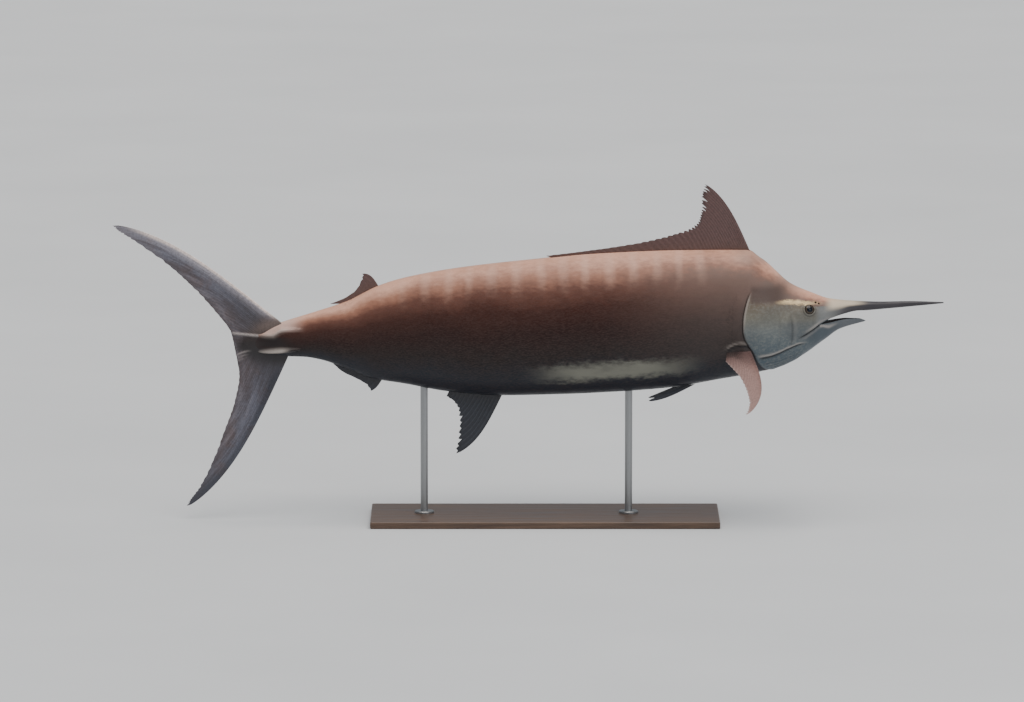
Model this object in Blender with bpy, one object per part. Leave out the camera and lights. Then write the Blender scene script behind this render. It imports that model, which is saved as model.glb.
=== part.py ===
"""Black marlin: a still, life-size display model of the whole fish, held level on a plain stand.

Frame: metres, +X towards the bill, +Z up, the fish's right side at -Y. The origin is the centre
of the base's underside, so the base rests on z = 0. The body is lofted through upright oval
sections read from a few smooth lines. Every fin is a fan of rays, and each one is trimmed to the
body's own surface, with a hair of clearance, where it grows from it.
"""

import math

import bmesh
import bpy
from mathutils import Matrix, Vector

# Clearances and mesh fineness
GAP = 0.0003
COVER_GAP = 0.0005
MOUTH_GAP = 0.0012
RING_POINTS = 32
JAW_POINTS = 24
MERGE = 0.000002

# Body lines, as (x, z): the back, the belly, and the level of the widest point
BACK = [
    (-1.299, 0.764), (-1.247, 0.804), (-1.191, 0.839), (-1.135, 0.860), (-0.985, 0.907),
    (-0.856, 0.950), (-0.718, 1.018), (-0.602, 1.054), (-0.370, 1.097), (-0.065, 1.132),
    (0.236, 1.158), (0.581, 1.172), (0.860, 1.174), (0.933, 1.135), (1.058, 1.028),
    (1.148, 0.989), (1.217, 0.965), (1.307, 0.955), (1.440, 0.950), (1.570, 0.952),
    (1.714, 0.948),
]
BELLY = [
    (-1.299, 0.749), (-1.247, 0.731), (-1.191, 0.716), (-1.101, 0.710), (-1.036, 0.708),
    (-0.968, 0.697), (-0.843, 0.654), (-0.752, 0.617), (-0.602, 0.592), (-0.417, 0.559),
    (-0.194, 0.542), (0.065, 0.547), (0.323, 0.559), (0.550, 0.578), (0.740, 0.611),
    (0.933, 0.647), (1.049, 0.686), (1.122, 0.727), (1.195, 0.780), (1.264, 0.830),
    (1.346, 0.856), (1.378, 0.864),
]
WIDEST = [
    (-1.299, 0.7565), (-1.135, 0.785), (-0.680, 0.822), (-0.060, 0.845), (0.550, 0.880),
    (0.900, 0.895), (1.050, 0.862), (1.148, 0.868), (1.204, 0.893), (1.260, 0.907),
    (1.310, 0.924), (1.400, 0.933), (1.570, 0.941), (1.714, 0.945),
]
HALF_WIDTH = [
    (-1.299, 0.006), (-1.260, 0.014), (-1.200, 0.025), (-1.135, 0.034), (-1.036, 0.045),
    (-0.910, 0.062), (-0.680, 0.099), (-0.420, 0.135), (-0.060, 0.160), (0.240, 0.168),
    (0.550, 0.170), (0.800, 0.164), (0.930, 0.149), (1.050, 0.115), (1.130, 0.089),
    (1.190, 0.068), (1.260, 0.048), (1.310, 0.034), (1.400, 0.022), (1.570, 0.0125),
    (1.714, 0.003),
]
# Roundness of the upper and lower half of a section: 1 is an ellipse, less is boxier
UPPER_ROUND = [(-1.30, 0.95), (-0.90, 1.0), (0.60, 1.06), (1.05, 1.0), (1.71, 1.0)]
LOWER_ROUND = [
    (-1.30, 0.95), (-0.60, 0.95), (0.90, 0.92), (1.049, 0.92), (1.100, 0.40), (1.310, 0.60),
    (1.400, 0.90), (1.71, 1.0),
]

# Mouth: the lower edge of the upper jaw and bill, from the jaw's hinge on the throat to the
# tip, and the upper edge of the lower jaw in front of the corner of the open mouth
MOUTH_LINE = [
    (1.049, 0.686), (1.084, 0.798), (1.109, 0.810), (1.148, 0.834), (1.180, 0.857),
    (1.204, 0.873), (1.243, 0.888), (1.290, 0.902), (1.337, 0.912), (1.406, 0.917),
    (1.570, 0.930), (1.714, 0.942),
]
JAW_TOP = [
    (1.180, 0.8558), (1.226, 0.864), (1.264, 0.872), (1.299, 0.876), (1.346, 0.876),
    (1.378, 0.868),
]
HINGE_X = 1.049
MOUTH_CORNER_X = 1.180
JAW_NARROWING = [(1.049, 1.0), (1.148, 0.97), (1.230, 0.82), (1.310, 0.62), (1.378, 0.22)]
JAW_UPPER_ROUND = 0.32
JAW_LOWER_ROUND = 0.90

# Where the body is parted, and how many steps each length has
PARTS_OF_BODY = [
    ("tail_stalk", -1.296, -0.620, 15),
    ("torso_rear", -0.620, -0.080, 7),
    ("torso_middle", -0.080, 0.420, 6),
    ("torso_front", 0.420, 0.900, 9),
]
HEAD_START, HEAD_END = 0.900, 1.310
BILL_TIP = 1.712
# Stations of the head and the jaw: up to the throat, where the mouth line climbs from it, and on
THROAT_END = 1.041
SEAM_START, SEAM_TOP, CHEEK_START = 1.0505, 1.0890, 1.101
JAW_FRONT, JAW_TIP = 1.325, 1.376

# Eyes, with their raised rims, and the nostrils
EYE_X, EYE_ANGLE = 1.133, 27.0
EYE_RADIUS, EYE_DEPTH, EYE_SINK = 0.0245, 0.0150, 0.0085
RIM_RADIUS, RIM_THICKNESS, RIM_SINK = 0.0275, 0.0048, 0.0030
NOSTRILS = [(1.176, 44.0, 0.0048), (1.163, 46.0, 0.0060)]
NOSTRIL_LIP = 0.0018

# Gill covers: the free rear edge and the front edge, as (angle round the section, x)
COVER_REAR = [
    (-78.75, 0.985), (-63.0, 0.940), (-45.0, 0.908), (-36.0, 0.897), (-27.0, 0.877),
    (-18.0, 0.857), (-9.0, 0.849), (0.0, 0.851), (18.0, 0.869), (22.5, 0.878),
]
COVER_FRONT = [(-78.75, 1.034), (-45.0, 1.030), (-27.0, 1.020), (0.0, 0.985), (22.5, 0.935)]
COVER_STEPS = 10
COVER_TOP_STEP, COVER_LOW_STEP = 2, -7
COVER_FRONT_THICKNESS, COVER_REAR_THICKNESS = 0.0010, 0.0080
BRANCHIAL_ANGLE = -45.0
BRANCHIAL_GROOVE, BRANCHIAL_RIDGE = 0.30, 0.55

# Keels of the tail stalk: each runs from (x, z) to (x, z) on both sides
KEELS = [((-1.035, 0.834), (-1.240, 0.799)), ((-1.050, 0.752), (-1.235, 0.738))]
KEEL_HEIGHT, KEEL_HALF_THICKNESS, KEEL_SINK, KEEL_END_SINK = 0.020, 0.0105, 0.012, 0.003
KEEL_STEPS = 8

# Fins as fans of rays. A control ray is (root x, root z, tip x, tip z), front ray first
FIN_SINK = 0.016
# A ray's bow is fullest past its middle and stays full towards the tip
BOW_SKEW, BOW_FULLNESS = 1.5, 0.65
# Half a fin's thickness at its edge, and how fast its fleshy root and its ridges fall away
EDGE_HALF = 0.0005
FLESH_FALL, RIDGE_FALL = 1.6, 0.60
FIRST_DORSAL = [
    (0.885, 0.681, 1.457), (0.850, 0.671, 1.410), (0.802, 0.669, 1.350),
    (0.748, 0.660, 1.303), (0.684, 0.624, 1.268), (0.598, 0.537, 1.236),
    (0.473, 0.421, 1.207), (0.323, 0.275, 1.182), (0.194, 0.150, 1.165),
    (0.047, 0.004, 1.147),
]
SECOND_DORSAL = [
    (-0.712, -0.786, 1.068), (-0.744, -0.790, 1.046), (-0.787, -0.810, 1.004),
    (-0.830, -0.858, 0.966), (-0.856, -0.925, 0.938),
]
FIRST_ANAL = [
    (-0.180, -0.387, 0.289), (-0.224, -0.378, 0.345), (-0.262, -0.369, 0.413),
    (-0.310, -0.372, 0.470), (-0.361, -0.391, 0.512), (-0.408, -0.424, 0.538),
]
SECOND_ANAL = [
    (-0.697, -0.751, 0.561), (-0.731, -0.768, 0.588), (-0.787, -0.817, 0.617),
    (-0.838, -0.870, 0.640), (-0.866, -0.922, 0.671),
]
TAIL_UPPER = [
    (-1.127, 0.852, -1.858, 1.276), (-1.138, 0.845, -1.830, 1.252),
    (-1.150, 0.838, -1.770, 1.214),
    (-1.176, 0.826, -1.617, 1.105), (-1.202, 0.812, -1.518, 1.015),
    (-1.228, 0.796, -1.423, 0.912), (-1.252, 0.776, -1.350, 0.813),
    (-1.272, 0.7602, -1.334, 0.7422),
]
TAIL_LOWER = [
    (-1.101, 0.718, -1.549, 0.058), (-1.118, 0.720, -1.528, 0.090),
    (-1.135, 0.722, -1.492, 0.138),
    (-1.170, 0.727, -1.432, 0.256), (-1.200, 0.731, -1.380, 0.391),
    (-1.230, 0.737, -1.337, 0.512), (-1.254, 0.745, -1.316, 0.632),
    (-1.272, 0.7596, -1.334, 0.7416),
]
# Half thickness at the fleshy root, of the membrane and of a ray's ridge over it, and how far
# the membrane's edge falls short of the ray tips, at most as this share of a ray's length
TALL_FIN = {"root": 0.0060, "web": 0.0014, "ridge": 0.0022, "notch": 0.008}
SMALL_FIN = {"root": 0.0040, "web": 0.0012, "ridge": 0.0016, "notch": 0.004}
TAIL_LOBE = {"root": 0.0120, "web": 0.0030, "ridge": 0.0026, "notch": 0.004}
PECTORAL_FIN = {"root": 0.0110, "web": 0.0026, "ridge": 0.0022, "notch": 0.004}
PELVIC_FIN = {"root": 0.0050, "web": 0.0020, "ridge": 0.0014, "notch": 0.002}
MOST_NOTCH = 0.15
# Pectoral fin in its own plane: (root x, tip x, tip distance out from the flank)
PECTORAL = [
    (0.874, 0.843, 0.494), (0.864, 0.855, 0.455), (0.854, 0.862, 0.405),
    (0.840, 0.858, 0.345), (0.825, 0.848, 0.285), (0.810, 0.828, 0.205),
    (0.796, 0.800, 0.140), (0.782, 0.772, 0.080),
]
PECTORAL_ROOT = Vector((0.0, -0.138, 0.748))
PECTORAL_DROOP = math.radians(22.0)
PECTORAL_CAMBER = 0.10
PECTORAL_SINK = 0.030
# Pelvic fin: a narrow blade under each side of the belly
PELVIC = [
    (0.645, 0.594, 0.444, 0.524), (0.618, 0.592, 0.446, 0.527), (0.590, 0.590, 0.455, 0.531),
]
PELVIC_SIDE, PELVIC_SPLAY, PELVIC_LEVEL = 0.030, 0.30, 0.585

# Stand
BASE_LENGTH, BASE_WIDTH, BASE_THICKNESS = 1.50, 0.52, 0.030
BASE_BEVEL = 0.006
ROD_RADIUS, ROD_FOOT_RADIUS, ROD_FOOT_HEIGHT = 0.016, 0.042, 0.010
ROD_FRONT_X, ROD_REAR_X = 0.360, -0.520
ROD_REACH = 0.020
ROD_SIDES = 24

RIGHT, LEFT = -1.0, 1.0


def curve_at(points, x):
    """Value at x of a smooth curve through the points that never swings past them."""
    if x <= points[0][0]:
        return points[0][1]
    if x >= points[-1][0]:
        return points[-1][1]
    last = max(i for i, point in enumerate(points[:-1]) if point[0] <= x)
    slopes = [(b[1] - a[1]) / (b[0] - a[0]) for a, b in zip(points, points[1:])]

    def tangent(i):
        if i in (0, len(slopes)):
            return slopes[min(i, len(slopes) - 1)]
        before, after = slopes[i - 1], slopes[i]
        if before * after <= 0.0:
            return 0.0
        return 2.0 * before * after / (before + after)

    (x0, y0), (x1, y1) = points[last], points[last + 1]
    span = x1 - x0
    t = (x - x0) / span
    return (
        y0 * (2 * t**3 - 3 * t**2 + 1)
        + y1 * (3 * t**2 - 2 * t**3)
        + span * tangent(last) * (t**3 - 2 * t**2 + t)
        + span * tangent(last + 1) * (t**3 - t**2)
    )


def spaced(start, end, steps):
    """Evenly spaced stations from start to end."""
    return [start + (end - start) * i / steps for i in range(steps + 1)]


def signed_power(value, power):
    """A power of the size of a number that keeps its sign."""
    return math.copysign(abs(value) ** power, value)


def section_point(section, angle, grow=0.0):
    """Point of an oval section at an angle: 0 is the left flank, pi / 2 the top."""
    x, top, bottom, widest, half_width, upper, lower = section
    across, up = math.cos(angle), math.sin(angle)
    power = upper if up > 0.0 else lower
    height = (top - widest if up > 0.0 else widest - bottom) + grow
    y = (half_width + grow) * signed_power(across, power)
    return Vector((x, y, widest + height * signed_power(up, power)))


def body_section(x):
    """Section of the body, the head above the mouth and the bill."""
    bottom = curve_at(BELLY, x) if x <= HINGE_X else curve_at(MOUTH_LINE, x)
    return (
        x, curve_at(BACK, x), bottom, curve_at(WIDEST, x), curve_at(HALF_WIDTH, x),
        curve_at(UPPER_ROUND, x), curve_at(LOWER_ROUND, x),
    )


def jaw_section(x):
    """Section of the lower jaw, as wide as the head is at the level of the mouth."""
    mouth = curve_at(MOUTH_LINE, x) - MOUTH_GAP
    top = mouth if x <= MOUTH_CORNER_X else min(mouth, curve_at(JAW_TOP, x))
    bottom = curve_at(BELLY, x)
    widest = curve_at(WIDEST, x)
    share = min((widest - top) / (widest - bottom), 1.0)
    half_width = curve_at(HALF_WIDTH, x) * math.sqrt(max(1.0 - share**2, 0.0))
    narrow = max(half_width, (top - bottom) * 0.5) if x > MOUTH_CORNER_X else half_width
    level = bottom + (top - bottom) * 0.72
    return (
        x, top, bottom, level, narrow * curve_at(JAW_NARROWING, x),
        JAW_UPPER_ROUND, JAW_LOWER_ROUND,
    )


def new_object(name, vertices, faces):
    """A closed mesh object with its faces turned outwards."""
    mesh = bpy.data.meshes.new(name)
    shape = bmesh.new()
    corners = [shape.verts.new(vertex) for vertex in vertices]
    for face in faces:
        shape.faces.new([corners[i] for i in face])
    bmesh.ops.recalc_face_normals(shape, faces=shape.faces)
    if shape.calc_volume(signed=True) < 0.0:
        bmesh.ops.reverse_faces(shape, faces=shape.faces)
    shape.to_mesh(mesh)
    shape.free()
    made = bpy.data.objects.new(name, mesh)
    bpy.context.scene.collection.objects.link(made)
    return made


def loft(name, sections, points=RING_POINTS, grow=0.0):
    """A closed skin through a row of sections, capped at both ends."""
    vertices = [
        section_point(section, 2.0 * math.pi * k / points, grow)
        for section in sections
        for k in range(points)
    ]
    faces = []
    for ring in range(len(sections) - 1):
        for k in range(points):
            a, b = ring * points + k, ring * points + (k + 1) % points
            faces.append((a, b, b + points, a + points))
    faces.append(tuple(range(points)))
    last = (len(sections) - 1) * points
    faces.append(tuple(last + k for k in range(points)))
    return new_object(name, vertices, faces)


def clean_mesh(shape):
    """Weld stray doubles and keep only the largest closed surface."""
    bmesh.ops.remove_doubles(shape, verts=shape.verts, dist=MERGE)
    bmesh.ops.dissolve_degenerate(shape, edges=shape.edges, dist=MERGE)
    shape.verts.ensure_lookup_table()
    left = set(shape.verts)
    groups = []
    while left:
        group, reach = set(), [left.pop()]
        while reach:
            vertex = reach.pop()
            group.add(vertex)
            for edge in vertex.link_edges:
                other = edge.other_vert(vertex)
                if other in left:
                    left.discard(other)
                    reach.append(other)
        groups.append(group)
    largest = max(groups, key=len)
    scraps = [vertex for vertex in shape.verts if vertex not in largest]
    bmesh.ops.delete(shape, geom=scraps, context="VERTS")


def combine(target, pieces, operation):
    """Join the pieces to the target, or cut them out of it, as one Boolean step."""
    group = bpy.data.collections.new("pieces")
    bpy.context.scene.collection.children.link(group)
    for piece in pieces:
        bpy.context.scene.collection.objects.unlink(piece)
        group.objects.link(piece)
    step = target.modifiers.new("combine", "BOOLEAN")
    step.operand_type = "COLLECTION"
    step.collection = group
    step.operation = operation
    step.solver = "EXACT"
    graph = bpy.context.evaluated_depsgraph_get()
    graph.update()
    mesh = bpy.data.meshes.new_from_object(target.evaluated_get(graph))
    target.modifiers.clear()
    old = target.data
    target.data = mesh
    bpy.data.meshes.remove(old)
    for piece in pieces:
        bpy.data.objects.remove(piece)
    bpy.data.collections.remove(group)
    shape = bmesh.new()
    shape.from_mesh(mesh)
    clean_mesh(shape)
    shape.to_mesh(mesh)
    shape.free()
    mesh.name = target.name


def finish(node, colour, roughness, metallic=0.0, crease=35.0):
    """Give a node its material and smooth its rounded faces."""
    material = bpy.data.materials.new(node.name)
    material.use_nodes = True
    shader = material.node_tree.nodes["Principled BSDF"]
    shader.inputs["Base Color"].default_value = (*colour, 1.0)
    shader.inputs["Roughness"].default_value = roughness
    shader.inputs["Metallic"].default_value = metallic
    node.data.materials.clear()
    node.data.materials.append(material)
    node.data.shade_smooth()
    node.data.set_sharp_from_angle(angle=math.radians(crease))
    return node


BACK_BROWN = (0.20, 0.11, 0.10)
FIN_BROWN = (0.11, 0.06, 0.06)
FIN_BLUE = (0.09, 0.10, 0.13)
CHEEK_SILVER = (0.33, 0.34, 0.30)
BILL_BROWN = (0.13, 0.12, 0.13)
PECTORAL_PINK = (0.42, 0.30, 0.29)
EYE_DARK = (0.02, 0.02, 0.03)
STAND_GREY = (0.25, 0.26, 0.27)
ROD_STEEL = (0.60, 0.61, 0.62)


def whole_body(grow):
    """The body and head as one skin, grown outwards, to trim what grows from it."""
    stations = []
    for _, start, end, steps in PARTS_OF_BODY:
        stations += spaced(start, end, steps)[:-1]
    stations += head_stations()[:6]
    return loft("trimmer", [body_section(x) for x in stations], grow=grow)


def head_stations():
    """Stations of the head, close together where the mouth line drops to the throat."""
    return (
        spaced(HEAD_START, THROAT_END, 4)
        + spaced(SEAM_START, SEAM_TOP, 4)
        + spaced(CHEEK_START, HEAD_END, 10)
    )


def keel(side, start, end, grow=0.0):
    """A low fleshy ridge along one side of the tail stalk that sinks into it at both ends."""
    vertices = []
    for i in range(KEEL_STEPS + 1):
        share = i / KEEL_STEPS
        x = start[0] + (end[0] - start[0]) * share
        z = start[1] + (end[1] - start[1]) * share
        swell = max(math.sin(math.pi * share), 0.0) ** 0.8
        height = (KEEL_HEIGHT + KEEL_END_SINK) * swell - KEEL_END_SINK + grow
        half = KEEL_HALF_THICKNESS * (0.35 + 0.65 * swell) + grow
        skin = flank(x, z)
        inner, outer = side * (skin - KEEL_SINK), side * (skin + height)
        middle = side * (skin + height * 0.45)
        vertices += [
            (x, inner, z - half * 1.3), (x, middle, z - half), (x, outer, z - half * 0.25),
            (x, outer, z + half * 0.25), (x, middle, z + half), (x, inner, z + half * 1.3),
        ]
    faces = []
    for ring in range(KEEL_STEPS):
        for k in range(6):
            a, b = ring * 6 + k, ring * 6 + (k + 1) % 6
            faces.append((a, b, b + 6, a + 6))
    faces.append(tuple(range(6)))
    faces.append(tuple(KEEL_STEPS * 6 + k for k in range(6)))
    return new_object("keel", vertices, faces)


def flank(x, z):
    """Half-width of the body's skin at a place along it and a level."""
    _, top, bottom, widest, half_width, upper, lower = body_section(x)
    reach, power = (top - widest, upper) if z > widest else (widest - bottom, lower)
    share = min(abs(z - widest) / reach, 1.0)
    return half_width * (1.0 - share ** (2.0 / power)) ** (power / 2.0)


def all_keels(grow=0.0):
    """Two keels on each side of the tail stalk."""
    return [keel(side, start, end, grow) for side in (RIGHT, LEFT) for start, end in KEELS]


def make_body():
    """The lengths of the body behind the head, parted by thin cuts."""
    for name, start, end, steps in PARTS_OF_BODY:
        first = start if name == "tail_stalk" else start + GAP / 2
        stations = [first] + spaced(start, end, steps)[1:-1] + [end - GAP / 2]
        node = loft(name, [body_section(x) for x in stations])
        if name == "tail_stalk":
            combine(node, all_keels(), "UNION")
        finish(node, BACK_BROWN, 0.38)


def skin_frame(x, angle):
    """Point on the skin, and the directions forwards along it, up along it and out of it."""
    step_x, step_angle = 0.002, 0.01
    here = section_point(body_section(x), angle)
    ahead = section_point(body_section(x + step_x), angle)
    higher = section_point(body_section(x), angle + step_angle)
    forwards = (ahead - here).normalized()
    out = forwards.cross(higher - here).normalized()
    if out.y * here.y < 0.0:
        out.negate()
    return here, forwards, out.cross(forwards).normalized(), out


def set_on_skin(x, angle, sink):
    """Matrix that sets a piece on the skin, its own +Z pointing out of it."""
    point, forwards, along, out = skin_frame(x, angle)
    turn = Matrix((forwards, along, out)).transposed().to_4x4()
    return Matrix.Translation(point - out * sink) @ turn


def side_angle(degrees, side):
    """The same angle round a section on the left or the right flank."""
    angle = math.radians(degrees)
    return angle if side > 0 else math.pi - angle


def ball(name, matrix, radius, depth, grow=0.0, around=18, rings=10):
    """A flattened ball."""
    mesh = bpy.data.meshes.new(name)
    shape = bmesh.new()
    scale = Matrix.Diagonal((radius + grow, radius + grow, depth + grow, 1.0))
    bmesh.ops.create_uvsphere(
        shape, u_segments=around, v_segments=rings, radius=1.0, matrix=matrix @ scale
    )
    if matrix.determinant() < 0.0:
        bmesh.ops.reverse_faces(shape, faces=shape.faces)
    shape.to_mesh(mesh)
    shape.free()
    made = bpy.data.objects.new(name, mesh)
    bpy.context.scene.collection.objects.link(made)
    return made


def torus(name, matrix, radius, thickness, around=20, section=8):
    """A ring of round section in the matrix's own plane."""
    vertices, faces = [], []
    for i in range(around):
        turn = 2.0 * math.pi * i / around
        for k in range(section):
            roll = 2.0 * math.pi * k / section
            out = radius + thickness * math.cos(roll)
            local = Vector((out * math.cos(turn), out * math.sin(turn), thickness * math.sin(roll)))
            vertices.append(matrix @ local)
            a, b = i * section + k, i * section + (k + 1) % section
            c, d = (a + section) % (around * section), (b + section) % (around * section)
            faces.append((a, b, d, c))
    return new_object(name, vertices, faces)


def make_head():
    """Head with raised eye rims, eye pockets and nostrils, then the bill and the lower jaw."""
    stations = head_stations()
    stations[0] += GAP / 2
    stations[-1] -= GAP / 2
    head = loft("head", [body_section(x) for x in stations])
    raised, pockets = [], []
    for side in (RIGHT, LEFT):
        angle = side_angle(EYE_ANGLE, side)
        rim_place = set_on_skin(EYE_X, angle, RIM_SINK)
        raised.append(torus("rim", rim_place, RIM_RADIUS, RIM_THICKNESS))
        eye_place = set_on_skin(EYE_X, angle, EYE_SINK)
        pockets.append(ball("pocket", eye_place, EYE_RADIUS, EYE_DEPTH, GAP))
        for x, degrees, radius in NOSTRILS:
            place = set_on_skin(x, side_angle(degrees, side), 0.0)
            raised.append(torus("nostril", place, radius, NOSTRIL_LIP, 10, 5))
            pockets.append(ball("pit", place, radius * 0.75, radius, around=8, rings=6))
    combine(head, raised, "UNION")
    combine(head, pockets, "DIFFERENCE")
    finish(head, CHEEK_SILVER, 0.35)

    for name, side in (("eye_right", RIGHT), ("eye_left", LEFT)):
        place = set_on_skin(EYE_X, side_angle(EYE_ANGLE, side), EYE_SINK)
        finish(ball(name, place, EYE_RADIUS, EYE_DEPTH), EYE_DARK, 0.08)

    bill = loft("bill", [body_section(x) for x in spaced(HEAD_END + GAP / 2, BILL_TIP, 8)])
    finish(bill, BILL_BROWN, 0.40)

    jaw_stations = (
        spaced(SEAM_START, SEAM_TOP, 4)
        + spaced(CHEEK_START, HEAD_END, 10)
        + spaced(JAW_FRONT, JAW_TIP, 4)
    )
    jaw = loft("lower_jaw", [jaw_section(x) for x in jaw_stations], points=JAW_POINTS)
    finish(jaw, BILL_BROWN, 0.40)


def cover_thickness(degrees, share):
    """Thickness of a gill cover: thin at its front edge, thick at its free rear edge."""
    thick = COVER_FRONT_THICKNESS
    thick += (COVER_REAR_THICKNESS - COVER_FRONT_THICKNESS) * share**1.5
    step = 360.0 / RING_POINTS
    below = round((BRANCHIAL_ANGLE - degrees) / step)
    if below == 0:
        return max(thick * BRANCHIAL_GROOVE, COVER_FRONT_THICKNESS)
    if below > 0 and below % 2 == 0:
        return max(thick * BRANCHIAL_RIDGE, COVER_FRONT_THICKNESS)
    return thick


def make_gill_cover(name, side):
    """The gill cover, a flap that lies on the head and stands free along its rear edge."""
    step = 360.0 / RING_POINTS
    inner, outer = [], []
    for row in range(COVER_LOW_STEP, COVER_TOP_STEP + 1):
        degrees = row * step
        front, rear = curve_at(COVER_FRONT, degrees), curve_at(COVER_REAR, degrees)
        for x in spaced(front, rear, COVER_STEPS):
            share = (front - x) / (front - rear)
            point, _, _, out = skin_frame(x, side_angle(degrees, side))
            inner.append(point + out * COVER_GAP)
            outer.append(point + out * (COVER_GAP + cover_thickness(degrees, share)))
    rows, columns = COVER_TOP_STEP - COVER_LOW_STEP + 1, COVER_STEPS + 1
    node = new_object(name, inner + outer, slab_faces(rows, columns))
    finish(node, CHEEK_SILVER, 0.33)


def slab_faces(rows, columns):
    """Faces of a thin slab whose two sides are alike grids, split into triangles alike."""
    half = rows * columns
    faces = []
    for r in range(rows - 1):
        for c in range(columns - 1):
            a, b = r * columns + c, r * columns + c + 1
            d, e = a + columns, b + columns
            faces += [(a, b, e), (a, e, d), (a + half, e + half, b + half)]
            faces.append((a + half, d + half, e + half))
    border = [(0, c) for c in range(columns - 1)]
    border += [(r, columns - 1) for r in range(rows - 1)]
    border += [(rows - 1, c) for c in range(columns - 1, 0, -1)]
    border += [(r, 0) for r in range(rows - 1, 0, -1)]
    ring = [r * columns + c for r, c in border]
    for a, b in zip(ring, ring[1:] + ring[:1]):
        faces.append((a, b, b + half))
        faces.append((a, b + half, a + half))
    return faces


class Fan:
    """A fin's shape in its own plane, with its thickness and the ridges of its rays."""

    def __init__(self, rays, count, rows, bow, root, web, ridge, notch):
        self.rays, self.count, self.rows, self.bow = rays, count, rows, bow
        self.root, self.web, self.ridge, self.notch = root, web, ridge, notch

    def ray(self, share):
        """Root and tip of the ray at a share of the way from the front ray to the last."""
        place = share * (len(self.rays) - 1)
        values = [
            curve_at([(i, ray[k]) for i, ray in enumerate(self.rays)], place) for k in range(4)
        ]
        return Vector(values[:2]), Vector(values[2:])

    def point(self, share, out):
        """Point on a ray at a share of its length, bowed towards the fin's front edge."""
        root, tip = self.ray(share)
        along = tip - root
        forwards = Vector((along.y, -along.x))
        swell = math.sin(math.pi * min(max(out, 0.0), 1.0) ** BOW_SKEW)
        bow = self.bow * math.sqrt(1.0 - share) * max(swell, 0.0) ** BOW_FULLNESS
        return root + along * out + forwards * bow

    def half_thickness(self, share, out, on_ray):
        """Half the fin's thickness, thinning from its fleshy root to its edge."""
        flesh = (self.root - self.web) * max(0.0, 1.0 - out * FLESH_FALL) ** 2
        half = EDGE_HALF + (self.web - EDGE_HALF) * (1.0 - out) + flesh
        if on_ray:
            half += self.ridge * (1.0 - RIDGE_FALL * out)
        return half

    def build(self, name, place, normal):
        """The fin as one closed slab. place turns a point of the plane into a world point."""
        columns = 2 * self.count - 1
        near, far = [], []
        for column in range(columns):
            share = column / (columns - 1)
            on_ray = column % 2 == 0
            root, tip = self.ray(share)
            notch = min(self.notch / (tip - root).length, MOST_NOTCH)
            reach = 1.0 if on_ray else 1.0 - notch
            for row in range(self.rows + 1):
                out = reach * row / self.rows
                centre = place(self.point(share, out))
                half = self.half_thickness(share, out, on_ray)
                near.append(centre - normal * half)
                far.append(centre + normal * half)
        return new_object(name, near + far, slab_faces(columns, self.rows + 1))


def rooted_rays(rays, line, sink):
    """Control rays with their roots sunk below a line of the body."""
    return [(x, curve_at(line, x) + sink, tip_x, tip_z) for x, tip_x, tip_z in rays]


def upright(point):
    """Place a point of a fin that stands in the fish's middle plane."""
    return Vector((point.x, 0.0, point.y))


def trimmed(node, extra=()):
    """Trim a node to the body's surface, with a hair of clearance."""
    combine(node, [whole_body(GAP), *extra], "DIFFERENCE")
    return node


def make_middle_fins():
    """The fins in the middle plane: two on the back, two under the belly, and the tail's lobes."""
    across = Vector((0.0, 1.0, 0.0))
    first_dorsal = rooted_rays(FIRST_DORSAL, BACK, -FIN_SINK)
    second_dorsal = rooted_rays(SECOND_DORSAL, BACK, -FIN_SINK)
    first_anal = rooted_rays(FIRST_ANAL, BELLY, FIN_SINK)
    second_anal = rooted_rays(SECOND_ANAL, BELLY, FIN_SINK)
    for name, fan, colour in (
        ("dorsal_fin_first", Fan(first_dorsal, 26, 5, 0.085, **TALL_FIN), FIN_BROWN),
        ("dorsal_fin_second", Fan(second_dorsal, 7, 4, 0.18, **SMALL_FIN), FIN_BROWN),
        ("anal_fin_first", Fan(first_anal, 13, 6, -0.10, **TALL_FIN), FIN_BLUE),
        ("anal_fin_second", Fan(second_anal, 7, 4, -0.10, **SMALL_FIN), FIN_BLUE),
    ):
        finish(trimmed(fan.build(name, upright, across)), colour, 0.45)

    upper = Fan(TAIL_UPPER, 14, 8, 0.072, **TAIL_LOBE)
    lower = Fan(TAIL_LOWER, 14, 8, -0.078, **TAIL_LOBE)
    for name, fan in (("tail_fin_upper", upper), ("tail_fin_lower", lower)):
        lobe = fan.build(name, upright, across)
        finish(trimmed(lobe, all_keels(GAP)), FIN_BLUE, 0.42)


def make_pectoral(name, side):
    """A stiff pectoral fin, held out from the low flank and drooping."""
    out = Vector((0.0, side * math.cos(PECTORAL_DROOP), -math.sin(PECTORAL_DROOP)))
    normal = Vector((0.0, side * math.sin(PECTORAL_DROOP), math.cos(PECTORAL_DROOP)))
    root = Vector((0.0, -side * PECTORAL_ROOT.y, PECTORAL_ROOT.z))

    def place(point):
        sag = PECTORAL_CAMBER * point.y * abs(point.y)
        return root + Vector((point.x, 0.0, 0.0)) + out * point.y - normal * sag

    rays = [(root_x, -PECTORAL_SINK, tip_x, reach) for root_x, tip_x, reach in PECTORAL]
    fan = Fan(rays, 12, 6, 0.125, **PECTORAL_FIN)
    finish(trimmed(fan.build(name, place, normal)), PECTORAL_PINK, 0.45)


def make_pelvic(name, side):
    """A narrow pelvic fin, trailing under one side of the belly."""
    normal = Vector((0.0, 1.0, side * PELVIC_SPLAY)).normalized()

    def place(point):
        y = side * (PELVIC_SIDE + (PELVIC_LEVEL - point.y) * PELVIC_SPLAY)
        return Vector((point.x, y, point.y))

    fan = Fan(PELVIC, 3, 7, -0.06, **PELVIC_FIN)
    finish(trimmed(fan.build(name, place, normal)), FIN_BLUE, 0.45)


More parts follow.
